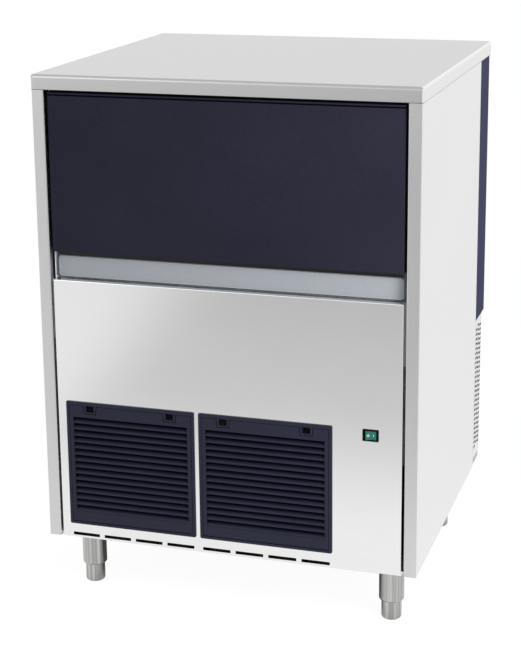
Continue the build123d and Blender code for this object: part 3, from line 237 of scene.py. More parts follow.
lamp_target = Vector((0, -0.1, 0.55))
for name, place, size, power, in_reflections in (
    ("key_lamp", (2.6, -1.6, 2.6), 2.4, 66, False),
    ("fill_lamp", (-2.4, -3.0, 2.2), 2.6, 20, True),
    ("door_lamp", (1.15, -1.05, 1.0), 0.5, 15, False),
):
    lamp = bpy.data.lights.new(name, "AREA")
    lamp.size = size
    lamp.energy = power
    stand = bpy.data.objects.new(name, lamp)
    stand.location = place
    stand.visible_glossy = in_reflections
    aim = lamp_target - Vector(place)
    stand.rotation_euler = aim.to_track_quat("-Z", "Y").to_euler()
    scene.collection.objects.link(stand)


# Steel sheets: the worktop, the two side panels that fold into a column beside the door, and
# the slotted sheet at the back. They are folded from brushed stainless, so each edge has a soft
# radius. Faces that the light reaches less are painted darker, a painted shadow lines the joint
# under the worktop's skirt, the upper part of the worktop's front roll is painted darker as
# painted shade, and the slotted sheet is painted near black inside as painted shade.
merge_distance, flat_angle = 1e-6, radians(0.3)


def copied(node):
    """Copy of a CAD node's mesh with its points merged and its flat faces joined."""
    shape = bmesh.new()
    shape.from_mesh(nodes[node].data)
    bmesh.ops.remove_doubles(shape, verts=shape.verts, dist=merge_distance)
    bmesh.ops.dissolve_limit(shape, angle_limit=flat_angle, verts=shape.verts, edges=shape.edges)
    return shape


def soften(shape, width, segments=2, sharp=35, inner=True):
    """Rounds every edge that turns by more than an angle, or only the outer ones."""
    turns = {edge: edge.calc_face_angle_signed() for edge in shape.edges if edge.is_manifold}
    edges = [edge for edge, turn in turns.items() if (abs(turn) if inner else turn) > radians(sharp)]
    bmesh.ops.bevel(
        shape,
        geom=edges,
        offset=width,
        offset_type="OFFSET",
        segments=segments,
        profile=0.5,
        affect="EDGES",
        clamp_overlap=True,
        material=-1,
    )
    bmesh.ops.dissolve_degenerate(shape, dist=merge_distance, edges=shape.edges)


def made(shape, name, body, finish, smooth_angle=30):
    """Object made from a bmesh, which is freed, with its finish and its body."""
    mesh = bpy.data.meshes.new(name)
    shape.to_mesh(mesh)
    shape.free()
    mesh.materials.append(finish.material)
    for face in mesh.polygons:
        face.use_smooth = True
    mesh.set_sharp_from_angle(angle=radians(smooth_angle))
    piece = bpy.data.objects.new(name, mesh)
    scene.collection.objects.link(piece)
    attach(piece, body)
    return piece


def dressed(shape, node, finish, body="cabinet"):
    """Piece that stands for a CAD node, shaded so that its flat faces stay flat."""
    piece = made(shape, f"{node}_finish", body, finish)
    flat = piece.modifiers.new("flat_faces", "WEIGHTED_NORMAL")
    flat.keep_sharp = True
    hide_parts(node)


def softened(node, finish, width, body="cabinet", segments=2, sharp=35):
    """Copy of a CAD node with its edges rounded, which stands for the node."""
    shape = copied(node)
    soften(shape, width=width, segments=segments, sharp=sharp)
    dressed(shape, node, finish, body)


def brushed_steel(name, grain, base, roughness, painted_face=None):
    """Stainless with fine brush lines along one axis; an optional axis, distance and tone paints the
    faces past that distance, as painted light or shade.
    """
    steel = Finish(name, Metallic=1.0)
    streaks_per_metre, lines_per_metre, painted_blur = 9, 2600, 0.001
    stretch = tuple(streaks_per_metre if axis == grain else lines_per_metre for axis in "XYZ")
    lines = steel.noise(scale=1.0, detail=3, stretch=stretch)
    cloud = steel.noise(scale=3.2, detail=2)
    tone = base
    if painted_face:
        across, start, painted_tone = painted_face
        past_painted_face = steel.ramp(abs(steel.axis(across)), start, start + painted_blur)
        tone = steel.mix(past_painted_face, base, painted_tone)
    amount = steel.ramp(0.7 * lines + 0.3 * cloud, 0.3, 0.7)
    steel.feed("Base Color", steel.shaded(tone, amount, low=0.97, high=1.02))
    steel.feed("Roughness", roughness + 0.07 * lines + 0.05 * cloud)
    steel.bump(lines, distance=0.00001, strength=0.25)
    return steel


column_face, top_side = 0.3405, 0.3655
# Painted light and shade: the columns' front faces are painted darker than the side panels, and the
# worktop's side skirts lighter than its top, for how light falls on each face.
column_painted_shade, skirt_painted_light = ("Y", column_face, grey(0.68)), ("X", top_side, grey(0.9))
side_steel = brushed_steel("side_steel", grain="Z", base=grey(0.92), roughness=0.3, painted_face=column_painted_shade)
top_steel = brushed_steel("top_steel", grain="X", base=grey(0.62), roughness=0.28, painted_face=skirt_painted_light)
# Painted shadow: the lowest millimetre of the worktop's skirt is painted near black, where it meets the
# side panels.
skirt_low, joint_shadow_width, joint_shadow_blur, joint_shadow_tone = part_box("worktop")[0][2], 0.001, 0.0001, grey(0.08)
above_skirt = top_steel.axis("Z") - skirt_low
top_steel.paint_shade(top_steel.ramp(above_skirt, joint_shadow_width, joint_shadow_width - joint_shadow_blur), joint_shadow_tone)
# Painted shade: the upper part of the worktop's front roll is painted darker, which dims its
# reflection.
roll_low, roll_rise, roll_back, roll_reach, roll_shade_tone = 1.025, 0.0012, -0.3398, 0.001, grey(0.45)
roll_shade = top_steel.ramp(top_steel.axis("Z"), roll_low, roll_low + roll_rise)
roll_shade = roll_shade * top_steel.ramp(top_steel.axis("Y"), roll_back, roll_back - roll_reach)
top_steel.paint_shade(roll_shade, roll_shade_tone)
softened("worktop", top_steel, width=0.0005)
softened("side_panel_left", side_steel, width=0.0004)
softened("side_panel_right", side_steel, width=0.0004)
slot_steel = brushed_steel("slot_steel", grain="Z", base=grey(0.92), roughness=0.3)
sheet_x, sheet_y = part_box("rear_grille")[1][:2]
# Painted shade: the inside of the slotted sheet is painted near black, so its slots read dark.
bright_skin, shadow_skin = 0.0002, 0.0004
inside_shade = slot_steel.ramp(abs(slot_steel.axis("X")), sheet_x - bright_skin, sheet_x - shadow_skin)
back_shade = slot_steel.ramp(slot_steel.axis("Y"), sheet_y - bright_skin, sheet_y - shadow_skin)
slot_steel.paint_shade(inside_shade * back_shade, grey(0.03))
softened("rear_grille", slot_steel, width=0.00015)


# Base pan: a folded tray of zinc coated sheet, with the crystal pattern that hot zinc leaves.
# Its front wall is painted near black as painted shade, because it stands in shade behind the panel's
# air slots.
# The fan cowl, the motor's strap and the gear stand are bent from the same sheet.
def zinc_sheet(name, crystal):
    """Zinc coated sheet with crystals of a given width in metres."""
    zinc = Finish(name, Metallic=1.0)
    inputs = {"Vector": zinc.place(), "Scale": 1 / crystal}
    crystals = zinc.node("ShaderNodeTexVoronoi", inputs=inputs, output="Color")
    tint = zinc.node("ShaderNodeSeparateColor", inputs={"Color": crystals})
    dust = zinc.noise(scale=620, detail=3)
    tone = 0.75 * tint + 0.25 * dust
    zinc.feed("Base Color", zinc.shaded((0.56, 0.57, 0.585, 1), tone, low=0.8, high=1.08))
    zinc.feed("Roughness", 0.32 + 0.18 * tint)
    zinc.bump(dust, distance=0.00002, strength=0.3)
    return zinc


pan_zinc = zinc_sheet("pan_zinc", crystal=0.011)
wall_shaded_zinc = zinc_sheet("wall_shaded_zinc", crystal=0.011)
# Painted shade: the base pan's front wall is painted near black.
wall_back, wall_front = -0.312, -0.318
wall_shaded_zinc.paint_shade(wall_shaded_zinc.ramp(wall_shaded_zinc.axis("Y"), wall_back, wall_front), grey(0.02))
softened("base_pan", wall_shaded_zinc, width=0.0005)
for node in ("fan_cowl", "fan_bracket", "gear_stand"):
    softened(node, pan_zinc, width=0.0005)


# Legs and feet: a stainless tube welded under each corner, with a rounded steel cup on a stem
# that screws into it. The tube is drawn, which leaves long soft streaks down it; the streaks are
# also painted reflections, the light and dark bands that a polished tube mirrors.
def drawn_steel(name, base):
    """Drawn and polished stainless with broad streaks down its length, which are drawing marks and also
    painted reflections.
    """
    steel = Finish(name, Metallic=1.0)
    streak_stretch, line_stretch = (210, 210, 2), (2400, 2400, 12)
    streaks_and_reflections = steel.noise(scale=1.0, detail=3, stretch=streak_stretch)
    lines = steel.noise(scale=1.0, detail=2, stretch=line_stretch)
    # Painted reflection: broad streaks lighten and darken the base colour down the length.
    steel.feed("Base Color", steel.shaded(base, steel.ramp(streaks_and_reflections, 0.34, 0.68), low=0.74, high=1.2))
    steel.feed("Roughness", 0.17 + 0.1 * lines)
    steel.bump(lines, distance=0.00001, strength=0.3)
    return steel


def turned(name, node, body, place, profile, finish, steps=72):
    """Turned piece: a closed outline of radius and height, spun round an upright axis."""
    shape = bmesh.new()
    ring = [shape.verts.new((radius, 0, height)) for radius, height in profile]
    edges = [shape.edges.new((a, b)) for a, b in zip(ring, ring[1:] + ring[:1])]
    bmesh.ops.spin(
        shape,
        geom=ring + edges,
        cent=(0, 0, 0),
        axis=(0, 0, 1),
        angle=2 * pi,
        steps=steps,
        use_merge=True,
    )
    bmesh.ops.remove_doubles(shape, verts=shape.verts, dist=merge_distance)
    on_axis = [edge for edge in shape.edges if edge.is_wire]
    bmesh.ops.delete(shape, geom=on_axis, context="EDGES")
    bmesh.ops.recalc_face_normals(shape, faces=shape.faces)
    bmesh.ops.translate(shape, vec=place, verts=shape.verts)
    piece = made(shape, name, body, finish)
    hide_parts(node)


leg_radius, leg_bore, leg_low, leg_top, leg_chamfer = 0.024, 0.022, 0.038, 0.12, 0.003
leg_side, leg_front, leg_rear = 0.305, -0.269, 0.19
plug_bore, plug_height = 0.00605, 0.006
cup_radius, cup_round, cup_top, cup_edge, cup_arc_step = 0.01925, 0.0055, 0.0377, 0.0005, 15
stem_radius, stem_top, stem_collar, stem_pitch, stem_thread = 0.006, 0.0977, 0.0004, 0.00175, 0.0007
foot_steel = drawn_steel("foot_steel", (0.47, 0.47, 0.46, 1))
chamfer_bow = 0.4 * leg_chamfer
leg_outline = [
    (plug_bore, leg_low),
    (leg_radius - leg_chamfer, leg_low),
    (leg_radius - chamfer_bow, leg_low + chamfer_bow),
    (leg_radius, leg_low + leg_chamfer),
    (leg_radius, leg_top),
    (leg_bore, leg_top),
    (leg_bore, leg_low + plug_height),
    (plug_bore, leg_low + plug_height),
]
cup_arc = [
    (cup_radius - cup_round + cup_round * sin(angle), cup_round - cup_round * cos(angle))
    for angle in (radians(degrees) for degrees in range(0, 91, cup_arc_step))
]
thread = []
for turn_number in range(int((stem_top - cup_top) / stem_pitch)):
    height = cup_top + stem_collar + turn_number * stem_pitch
    thread += [(stem_radius - stem_thread, height), (stem_radius, height + stem_pitch / 2)]
stem_end = [(stem_radius - stem_thread, stem_top), (0, stem_top)]
cup_rim = [(cup_radius, cup_top - cup_edge), (cup_radius - cup_edge, cup_top)]
cup_outline = [(0, 0)] + cup_arc + cup_rim + thread + stem_end
for corner, x, y in (
    ("front_left", -leg_side, leg_front),
    ("front_right", leg_side, leg_front),
    ("rear_left", -leg_side, leg_rear),
    ("rear_right", leg_side, leg_rear),
):
    place, adjuster = (x, y, 0), f"adjuster_{corner}"
    turned(f"leg_tube_{corner}", f"leg_{corner}", "cabinet", place, leg_outline, foot_steel)
    turned(f"foot_cup_{corner}", f"foot_{corner}", adjuster, place, cup_outline, foot_steel)


# Front panel: a shallow pan of brushed stainless, cut for the grilles, the switch and air slots.
# Its lines run across the machine.
panel_steel = brushed_steel("panel_steel", grain="X", base=grey(0.88), roughness=0.11)
softened("front_panel", panel_steel, width=0.0004)


# Louvred grilles: a moulded frame in the panel and a louvred door that tilts out of it.
# Both are the same dark plastic with a fine texture; their deeper parts are painted darker as painted
# shade, so the lips read lighter.
def moulded(name, colour, roughness, grain=1400, depth=0.00006, gloss=0.3, cloudy=0.0):
    """Moulded plastic: a fine texture from its tool, and cloudy unevenness where it is asked for."""
    plastic = Finish(name, Specular_IOR_Level=gloss)
    pits = plastic.noise(scale=grain, detail=3)
    cloud = plastic.noise(scale=7, detail=3)
    dark_share, light_share, light_lift = 0.86, 1.12, 0.001
    dark = tuple(v * dark_share for v in colour[:3]) + (1,)
    light = tuple(min(1, v * light_share + light_lift) for v in colour[:3]) + (1,)
    tone = plastic.ramp((1 - cloudy) * pits + cloudy * cloud, 0.3, 0.7)
    plastic.feed("Base Color", plastic.mix(tone, dark, light))
    plastic.feed("Roughness", roughness + 0.14 * pits)
    plastic.bump(pits, distance=depth, strength=0.6)
    return plastic


grille_blue = moulded(
    "grille_blue", shade((33, 34, 49)), roughness=0.3, grain=1900, depth=0.00003, gloss=0.22, cloudy=0.3
)
# Painted shade: the louvres darken with depth behind their lips.
lip_face, hollow_face = -0.3443, -0.336
recess_shade = grille_blue.ramp(grille_blue.axis("Y"), lip_face, hollow_face)
grille_blue.paint_shade(recess_shade, shade((15, 15, 23)))
for side in ("left", "right"):
    softened(f"grille_frame_{side}", grille_blue, width=0.0007)
    softened(f"grille_door_{side}", grille_blue, width=0.0007, body=f"louvre_{side}", sharp=25)


# Air filters: a black moulded frame with thin ribs that holds a washable woven mesh.
# Each one slides in behind its louvred door and lifts out by hand.
def box_beam(shape, low, high):
    """Adds a block between two corners."""
    low, high = Vector(low), Vector(high)
    block = bmesh.ops.create_cube(shape, size=1)["verts"]
    bmesh.ops.scale(shape, vec=high - low, verts=block)
    bmesh.ops.translate(shape, vec=(low + high) / 2, verts=block)


def woven(name, pitch):
    """Dark mesh of crossed threads at a pitch in metres."""
    mesh = Finish(name, Specular_IOR_Level=0.2)
    gap, thread_grey = shade((14, 14, 15)), shade((74, 75, 78))
    warp, weft = (abs((mesh.axis(axis) * (2 * pi / pitch)).maths("SINE")) for axis in "XZ")
    height = warp.maths("MAXIMUM", weft)
    strand = mesh.ramp(height, 0.55, 0.9)
    dust = mesh.noise(scale=60, detail=3)
    mesh.feed("Base Color", mesh.mix(strand * (0.6 + 0.4 * dust), gap, thread_grey))
    mesh.feed("Roughness", 0.55 + 0.25 * dust)
    mesh.bump(height, distance=0.0003, strength=0.8)
    return mesh


frame_width, rib_width, mesh_thickness = 0.006, 0.002, 0.0006
rib_columns, rib_rows = (0.25, 0.5, 0.75), (1 / 3, 2 / 3)
filter_black = moulded(
    "filter_black", shade((27, 27, 29)), roughness=0.45, grain=1600, depth=0.00003, gloss=0.25
)
filter_mesh = woven("filter_mesh", pitch=0.0018)
for side in ("left", "right"):
    low, high = (Vector(corner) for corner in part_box(f"air_filter_{side}"))
    shape = bmesh.new()
    box_beam(shape, low, high)
    broad = [face for face in shape.faces if abs(face.normal.y) > 0.5]
    bmesh.ops.inset_individual(shape, faces=broad, thickness=frame_width, use_even_offset=True)
    openings = [face for face in broad if face.is_valid]
    loops = [edge for face in openings for edge in face.edges]
    bmesh.ops.delete(shape, geom=openings, context="FACES_ONLY")
    bmesh.ops.bridge_loops(shape, edges=loops)
    middle = (low + high) / 2
    inner_low = low + Vector((frame_width, 0, frame_width))
    inner_high = high - Vector((frame_width, 0, frame_width))
    for share in rib_columns:
        x = inner_low.x + share * (inner_high.x - inner_low.x)
        rib_low = (x - rib_width / 2, low.y + rib_width / 2, inner_low.z - rib_width / 2)
        rib_high = (x + rib_width / 2, middle.y, inner_high.z + rib_width / 2)
        box_beam(shape, rib_low, rib_high)
    for share in rib_rows:
        z = inner_low.z + share * (inner_high.z - inner_low.z)
        rib_low = (inner_low.x - rib_width / 2, low.y + rib_width / 2, z - rib_width / 2)
        rib_high = (inner_high.x + rib_width / 2, middle.y, z + rib_width / 2)
        box_beam(shape, rib_low, rib_high)
    bmesh.ops.recalc_face_normals(shape, faces=shape.faces)
    soften(shape, width=0.0004)
    dressed(shape, f"air_filter_{side}", filter_black)
    sheet = bmesh.new()
    sheet_low = (inner_low.x - rib_width, middle.y, inner_low.z - rib_width)
    sheet_high = (inner_high.x + rib_width, middle.y + mesh_thickness, inner_high.z + rib_width)
    box_beam(sheet, sheet_low, sheet_high)
    made(sheet, f"filter_mesh_{side}", "cabinet", filter_mesh)


# Switch: a black moulded bezel that snaps into the panel, and a green rocker on two pins.
# The rocker carries the usual off ring and on bar, pad-printed in white on its two faces.
switch_black = moulded("switch_black", shade((15, 15, 17)), roughness=0.4, gloss=0.08)
rocker_green = moulded(
    "rocker_green", shade((34, 92, 80)), roughness=0.3, grain=2500, depth=0.00001
)
mark_white = moulded(
    "mark_white", shade((228, 232, 230)), roughness=0.5, grain=2500, depth=0.000005
)
softened("switch_bezel", switch_black, width=0.0003)
softened("switch_rocker", rocker_green, width=0.0004, body="rocker")
rocker_pivot = Vector((0.2797, -0.338, 0.39))
face_slope, rest_tilt = 14, 8
mark_out, mark_depth = 0.005, 0.0065
bar_width, mark_thickness, bar_height = 0.0007, 0.0003, 0.0042
ring_inside, ring_outside = 0.0016, 0.0022
for side, name in ((-1, "off_mark"), (1, "on_mark")):
    mark = bmesh.new()
    if name == "on_mark":
        half_bar = Vector((bar_width, mark_thickness, bar_height)) / 2
        box_beam(mark, -half_bar, half_bar)
    else:
        section = (
            (ring_inside, -mark_thickness / 2),
            (ring_outside, -mark_thickness / 2),
            (ring_outside, mark_thickness / 2),
            (ring_inside, mark_thickness / 2),
        )
        ring = [mark.verts.new((x, y, 0)) for x, y in section]
        edges = [mark.edges.new((a, b)) for a, b in zip(ring, ring[1:] + ring[:1])]
        bmesh.ops.spin(
            mark,
            geom=ring + edges,
            cent=(0, 0, 0),
            axis=(0, 1, 0),
            angle=2 * pi,
            steps=32,
            use_merge=True,
        )
        bmesh.ops.remove_doubles(mark, verts=mark.verts, dist=merge_distance)
    bmesh.ops.recalc_face_normals(mark, faces=mark.faces)
    place = Matrix.Translation(rocker_pivot) @ Matrix.Rotation(radians(rest_tilt), 4, "Z")
    place @= Matrix.Translation((side * mark_out, -mark_depth, 0))
    place @= Matrix.Rotation(radians(-side * face_slope), 4, "Z")
    bmesh.ops.transform(mark, matrix=place, verts=mark.verts)
    made(mark, name, "rocker", mark_white)


# Insulated bin: a white food-safe tub, foamed behind, whose mouth is rounded for the hand.
# The tracks for the door's pivots stay square inside, so that the pivots' heads run clear.
# A black rubber seal is glued up each side of the mouth, and a foam board lies over the tub.
def foam(name, colour, cell):
    """Rigid foam with cells of a given width in metres."""
    soft = Finish(name, Specular_IOR_Level=0.15)
    inputs = {"Vector": soft.place(), "Scale": 1 / cell}
    cells = soft.node("ShaderNodeTexVoronoi", inputs=inputs, output="Distance")
    stain = soft.noise(scale=9, detail=3)
    soft.feed("Base Color", soft.shaded(colour, 0.6 * cells + 0.4 * stain, low=0.8, high=1.08))
    soft.feed("Roughness", 0.75 + 0.2 * cells)
    soft.bump(cells, distance=0.0004, strength=0.7)
    return soft


tub_white = moulded(
    "tub_white", shade((226, 229, 232)), roughness=0.26, grain=700, depth=0.00002, gloss=0.4
)
seal_rubber = moulded(
    "seal_rubber", shade((24, 24, 25)), roughness=0.65, grain=900, depth=0.00005, gloss=0.2
)
board_foam = foam("board_foam", shade((206, 198, 170)), cell=0.0016)
tub = copied("bin_tub")
soften(tub, width=0.0015, segments=3, inner=False)
dressed(tub, "bin_tub", tub_white)
softened("bin_seal", seal_rubber, width=0.0012, segments=3)
softened("worktop_board", board_foam, width=0.001)


# Bin door: a dark navy moulding with a leathery texture and a grooved top band, on two steel
# pivots. A white liner closes it behind, and the grey strip that the hand pulls sits below its
# lip. The strip's field is sunk in a thin rim, and its tongue, behind the lip, is painted near
# black as the lip's painted shadow; the groove in the top band is darkened as painted shade.
rim_width, field_depth = 0.0022, 0.0006
door_navy = moulded(
    "door_navy", shade((39, 39, 50)), roughness=0.44, grain=620, depth=0.00016, gloss=0.03, cloudy=0.35
)
# Painted shade: a dark band is painted along the groove in the door's top band.
groove_middle, groove_edge, groove_floor = 0.99225, 0.0017, 0.0013
groove_shade = door_navy.ramp(abs(door_navy.axis("Z") - groove_middle), groove_edge, groove_floor)
door_navy.paint_shade(groove_shade, shade((8, 8, 12)))
liner_white = moulded(
    "liner_white", shade((226, 229, 232)), roughness=0.28, grain=900, depth=0.00002, gloss=0.4
)
strip_grey = moulded(
    "strip_grey", shade((143, 147, 153)), roughness=0.3, grain=1800, depth=0.00002, gloss=0.4
)
# Painted shadow: the strip's tongue is painted near black where the door's lip shades it.
strip_top, tongue_foot = 0.6838, 0.6842
lip_shadow = strip_grey.ramp(strip_grey.axis("Z"), strip_top, tongue_foot)
strip_grey.paint_shade(lip_shadow, shade((16, 16, 17)))
pivot_steel = brushed_steel("pivot_steel", grain="X", base=(0.62, 0.62, 0.63, 1), roughness=0.2)
softened("bin_door", door_navy, width=0.0006, body="door")
softened("door_liner", liner_white, width=0.0008, body="door")
strip = copied("door_handle")
strip_face = min(strip.faces, key=lambda face: face.calc_center_median().y)
for inset, depth in ((rim_width, 0), (field_depth, -field_depth)):
    bmesh.ops.inset_region(
        strip, faces=[strip_face], thickness=inset, depth=depth, use_even_offset=True
    )
soften(strip, width=0.0003)
dressed(strip, "door_handle", strip_grey, "door")
for side in ("left", "right"):
    softened(f"door_pivot_{side}", pivot_steel, width=0.0004, body="door_carriage")


# Rear cover: a hood moulded in blue-grey plastic that encloses the ice maker.
# Its surface is coarser than the door's and almost matt.
rear_blue = moulded(
    "rear_blue", shade((47, 49, 74)), roughness=0.6, grain=1300, depth=0.00008, gloss=0.08, cloudy=0.15
)
softened("rear_cover", rear_blue, width=0.0006)


# Condenser: a block of thin aluminium fins on copper tubes between two end plates.
# The fan behind it draws air in through the grilles, the filters and these fins.
def finned(name, pitch):
    """Aluminium fins at a pitch in metres along the machine's width, with dark gaps."""
    fins = Finish(name, Metallic=1.0)
    wave = (fins.axis("X") * (2 * pi / pitch)).maths("SINE")
    ridge = fins.ramp(wave, -0.5, 0.5)
    dust = fins.noise(scale=45, detail=3)
    lit_edge = ridge * (0.7 + 0.3 * dust)
    fins.feed("Base Color", fins.shaded((0.62, 0.63, 0.64, 1), lit_edge, low=0.3, high=1.05))
    fins.feed("Roughness", 0.3 + 0.25 * dust)
    fins.bump(wave, distance=0.0004, strength=0.8)
    return fins


condenser_fins = finned("condenser_fins", pitch=0.0024)
softened("condenser", condenser_fins, width=0.0003)


# Fan and its motor: black blades on a hub, driven by a small enamelled motor.
# The compressor is two drawn shells in the same black enamel, and stands on rubber grommets.
def enamel(name, colour, gloss=0.5):
    """Enamel sprayed on metal, with the faint ripple of wet paint and a little dust."""
    paint = Finish(name, Specular_IOR_Level=gloss)
    ripple = paint.noise(scale=320, detail=2)
    dust = paint.noise(scale=24, detail=4)
    paint.feed("Base Color", paint.shaded(colour, dust, low=0.82, high=1.25))
    paint.feed("Roughness", 0.22 + 0.3 * dust)
    paint.bump(ripple, distance=0.00012, strength=0.5)
    return paint


black_enamel = enamel("black_enamel", shade((30, 30, 32)))
fan_black = moulded(
    "fan_black", shade((28, 28, 30)), roughness=0.4, grain=1100, depth=0.00003, gloss=0.35
)
grommet_rubber = moulded(
    "grommet_rubber", shade((26, 26, 26)), roughness=0.7, grain=800, depth=0.00008, gloss=0.15
)
softened("fan", fan_black, width=0.0004, body="fan_rotor")
softened("fan_motor", black_enamel, width=0.0008)
softened("compressor", black_enamel, width=0.001)
softened("compressor_grommets", grommet_rubber, width=0.0015, segments=3)


# Ice maker: an auger turns in a foamed cylinder over its gear motor, and lifts the ice it
# scrapes off into a white head that turns it into the bin. The gearbox is cast aluminium.
def cast_metal(name, colour):
    """Sand cast metal with a coarse skin."""
    cast = Finish(name, Metallic=0.85)
    skin = cast.noise(scale=520, detail=4)
    cloud = cast.noise(scale=16, detail=3)
    cast.feed("Base Color", cast.shaded(colour, 0.5 * skin + 0.5 * cloud, low=0.8, high=1.15))
    cast.feed("Roughness", 0.42 + 0.2 * skin)
    cast.bump(skin, distance=0.00025, strength=0.7)
    return cast


gear_cast = cast_metal("gear_cast", (0.36, 0.37, 0.38, 1))
auger_steel = brushed_steel("auger_steel", grain="Z", base=(0.68, 0.68, 0.69, 1), roughness=0.16)
jacket_foam = foam("jacket_foam", shade((40, 40, 42)), cell=0.0012)
head_white = moulded(
    "head_white", shade((222, 224, 222)), roughness=0.32, grain=1100, depth=0.00003, gloss=0.35
)
softened("gear_motor", gear_cast, width=0.0012, segments=3)
softened("freezing_cylinder", jacket_foam, width=0.002, segments=3)
softened("auger", auger_steel, width=0.0003, body="ice_auger")
softened("ice_head", head_white, width=0.0008)
softened("head_cap", head_white, width=0.0008)


# Water tank: an open white moulding hung on the bin, with a brass float valve in its wall.
# The black float hangs on its pin and shuts the valve as the water rises.
tank_white = moulded(
    "tank_white", shade((220, 223, 224)), roughness=0.3, grain=1000, depth=0.00002, gloss=0.4
)
valve_brass = brushed_steel("valve_brass", grain="Y", base=(0.72, 0.52, 0.24, 1), roughness=0.2)
float_black = moulded(
    "float_black", shade((22, 22, 24)), roughness=0.4, grain=1500, depth=0.00003, gloss=0.3
)
softened("water_tank", tank_white, width=0.001)
softened("float_valve", valve_brass, width=0.0004)
softened("tank_float", float_black, width=0.0006, body="float_arm")


# Fittings: a threaded water inlet and a threaded drain pass through the back sheet, each held
# by a hexagon locknut. The thread is wound as one ridge from the nut to the free end.
fitting_height, nut_face, fitting_end = 0.182, 0.317, 0.341
face_slack, radius_slack, thread_gap = 0.00001, 0.00005, 0.0002


def wind_thread(shape, start, radius, depth, pitch, length, steps=36):
    """Winds one ridge round an axis along Y and closes its two ends."""
    root = radius - 1.05 * depth
    section = ((root, 0.05), (radius, 0.42), (radius, 0.58), (root, 0.95))
    start = Vector(start)
    ring = [shape.verts.new(start + Vector((out, share * pitch, 0))) for out, share in section]
    edges = [shape.edges.new((a, b)) for a, b in zip(ring, ring[1:] + ring[:1])]
    turns = int(length / pitch) - 1
    bmesh.ops.spin(
        shape,
        geom=ring + edges,
        cent=start,
        axis=(0, 1, 0),
        dvec=(0, pitch / steps, 0),
        angle=2 * pi * turns,
        steps=steps * turns,
    )
    open_ends = [edge for edge in shape.edges if edge.is_boundary]
    bmesh.ops.holes_fill(shape, edges=open_ends, sides=4)


def threaded(node, finish, x, radius, depth, pitch):
    """Fitting whose outer stretch is cut down to the root of its thread, which is then wound on."""
    shape = copied(node)
    for vert in shape.verts:
        outward = Vector((vert.co.x - x, 0, vert.co.z - fitting_height))
        if vert.co.y > nut_face - face_slack and abs(outward.length - radius) < radius_slack:
            vert.co -= outward.normalized() * depth
    soften(shape, width=0.0004)
    thread_start = (x, nut_face + thread_gap, fitting_height)
    wind_thread(shape, thread_start, radius, depth, pitch, fitting_end - nut_face)
    bmesh.ops.recalc_face_normals(shape, faces=shape.faces)
    dressed(shape, node, finish)


fitting_white = moulded(
    "fitting_white", shade((216, 218, 216)), roughness=0.35, grain=1100, depth=0.00002, gloss=0.35
)
gland_black = moulded(
    "gland_black", shade((24, 24, 26)), roughness=0.42, grain=1300, depth=0.00003, gloss=0.3
)
threaded("water_inlet", fitting_white, x=-0.3, radius=0.0132, depth=0.0011, pitch=0.0018)
threaded("drain_outlet", fitting_white, x=-0.236, radius=0.012, depth=0.0009, pitch=0.0015)
softened("cable_gland", gland_black, width=0.0005)


# Hoses: grey flexible hose brings water to the tank and the cylinder, and drains the bin.
# They push on to their spigots and hang in wide bends.
def hose(name, colour):
    """Flexible hose with a waxy bloom along it."""
    wall = Finish(name, Specular_IOR_Level=0.35)
    bloom = wall.noise(scale=30, detail=4)
    skin = wall.noise(scale=900, detail=2)
    wall.feed("Base Color", wall.shaded(colour, bloom, low=0.85, high=1.15))
    wall.feed("Roughness", 0.35 + 0.25 * bloom)
    wall.bump(skin, distance=0.00004, strength=0.5)
    return wall


hose_grey = hose("hose_grey", shade((156, 158, 162)))
for node in ("inlet_hose", "feed_hose", "drain_hose"):
    softened(node, hose_grey, width=0.0006)


# Refrigerant lines: bent copper tube between the compressor, the condenser and the cylinder.
# The filter drier in the liquid line is spun from the same copper, and brown where it was brazed.
def drawn_copper(name):
    """Copper tube with a bright drawn skin and brown patches of oxide."""
    copper = Finish(name, Metallic=1.0)
    oxide = copper.ramp(copper.noise(scale=17, detail=4), 0.45, 0.7)
    lines = copper.noise(scale=900, detail=2)
    copper.feed("Base Color", copper.mix(oxide, (0.74, 0.36, 0.23, 1), (0.3, 0.13, 0.08, 1)))
    copper.feed("Roughness", 0.2 + 0.25 * oxide + 0.06 * lines)
    copper.bump(lines, distance=0.00002, strength=0.3)
    return copper


line_copper = drawn_copper("line_copper")
for node in ("discharge_line", "suction_line", "liquid_line_front", "liquid_line_rear"):
    softened(node, line_copper, width=0.0004)
softened("filter_drier", line_copper, width=0.0008)


# Electrical box: a grey moulded case that holds the controls behind the switch.
# It hangs under the bin, and its lid is held by four small screws.
box_grey = moulded(
    "box_grey", shade((168, 171, 174)), roughness=0.4, grain=1200, depth=0.00004, gloss=0.3
)
softened("electrical_box", box_grey, width=0.0008)


# Screws and nuts: zinc plated hexagon heads on their washers, where sheets and covers are
# fixed at the back and inside. The front, the sides and the top have none.
def hexagon_heads(name, places, out, across):
    """Group of like hexagon heads with washers, on faces that look along one axis."""
    shape = bmesh.new()
    stand = Vector(out).to_track_quat("Z", "Y").to_matrix().to_4x4()
    washer_radius, washer_thickness = 0.95 * across, 0.16 * across
    head_radius, head_height = 0.577 * across, 0.42 * across
    for place in places:
        at = Matrix.Translation(place) @ stand
        for sides, radius, low, high in (
            (32, washer_radius, 0, washer_thickness),
            (6, head_radius, washer_thickness, washer_thickness + head_height),
        ):
            bmesh.ops.create_cone(
                shape,
                cap_ends=True,
                segments=sides,
                radius1=radius,
                radius2=radius,
                depth=high - low,
                matrix=at @ Matrix.Translation((0, 0, (low + high) / 2)),
            )
    soften(shape, width=0.06 * across)
    made(shape, name, "cabinet", screw_zinc)


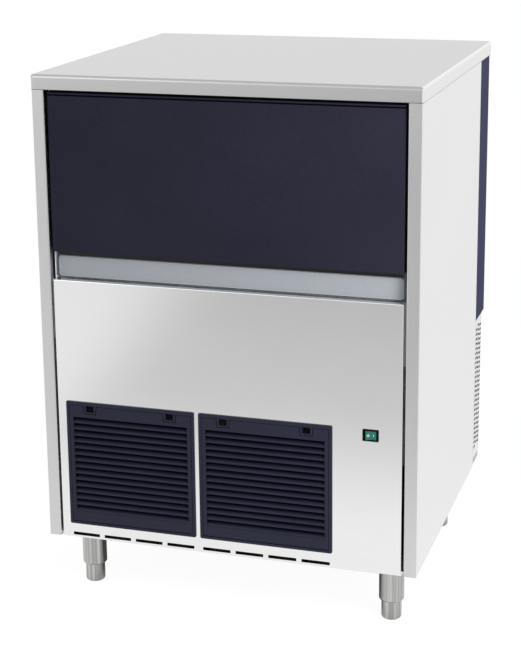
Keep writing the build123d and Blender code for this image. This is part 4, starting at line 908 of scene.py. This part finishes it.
def corners(node, inset, axis, level):
    """Four places in from the corners of a node's box, on the plane of one axis."""
    low, high = (Vector(corner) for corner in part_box(node))
    first, second = (index for index in range(3) if index != axis)
    places = []
    for a in (low[first] + inset, high[first] - inset):
        for b in (low[second] + inset, high[second] - inset):
            place = Vector((0, 0, 0))
            place[first], place[second], place[axis] = a, b, level
            places.append(place)
    return places


screw_zinc = zinc_sheet("screw_zinc", crystal=0.0016)
rear_low, rear_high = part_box("rear_grille")
lap_height = (rear_low[2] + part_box("base_pan")[1][2]) / 2
rear_columns = (-0.33, -0.11, 0.11, 0.33)
rear_places = [(x, rear_high[1], lap_height) for x in rear_columns]
hexagon_heads("rear_sheet_screws", rear_places, out=(0, 1, 0), across=0.006)

cowl_sheet = 0.0015
cowl_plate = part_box("fan_cowl")[0][1] + cowl_sheet
cowl_places = corners("fan_cowl", inset=0.009, axis=1, level=cowl_plate)
hexagon_heads("cowl_screws", cowl_places, out=(0, 1, 0), across=0.006)

lid_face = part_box("electrical_box")[0][1]
lid_places = corners("electrical_box", inset=0.008, axis=1, level=lid_face)
hexagon_heads("box_lid_screws", lid_places, out=(0, -1, 0), across=0.004)

plate_thickness, grommet_radius = 0.004, 0.013
plate_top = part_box("compressor_grommets")[1][2] + plate_thickness
nut_places = corners("compressor_grommets", inset=grommet_radius, axis=2, level=plate_top)
hexagon_heads("compressor_nuts", nut_places, out=(0, 0, 1), across=0.008)

gear_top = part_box("gear_motor")[1][2]
gear_places = corners("gear_motor", inset=0.011, axis=2, level=gear_top)
hexagon_heads("gearbox_screws", gear_places, out=(0, 0, 1), across=0.007)

cap_low, cap_high = (Vector(corner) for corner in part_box("head_cap"))
cap_flange, bolt_circle, bolt_angles = 0.006, 0.038, (45, 135, 225, 315)
cap_middle, cap_plate = (cap_low + cap_high) / 2, cap_low.z + cap_flange
cap_places = [
    (cap_middle.x + bolt_circle * cos(angle), cap_middle.y + bolt_circle * sin(angle), cap_plate)
    for angle in (radians(degrees) for degrees in bolt_angles)
]
hexagon_heads("head_cap_screws", cap_places, out=(0, 0, 1), across=0.005)
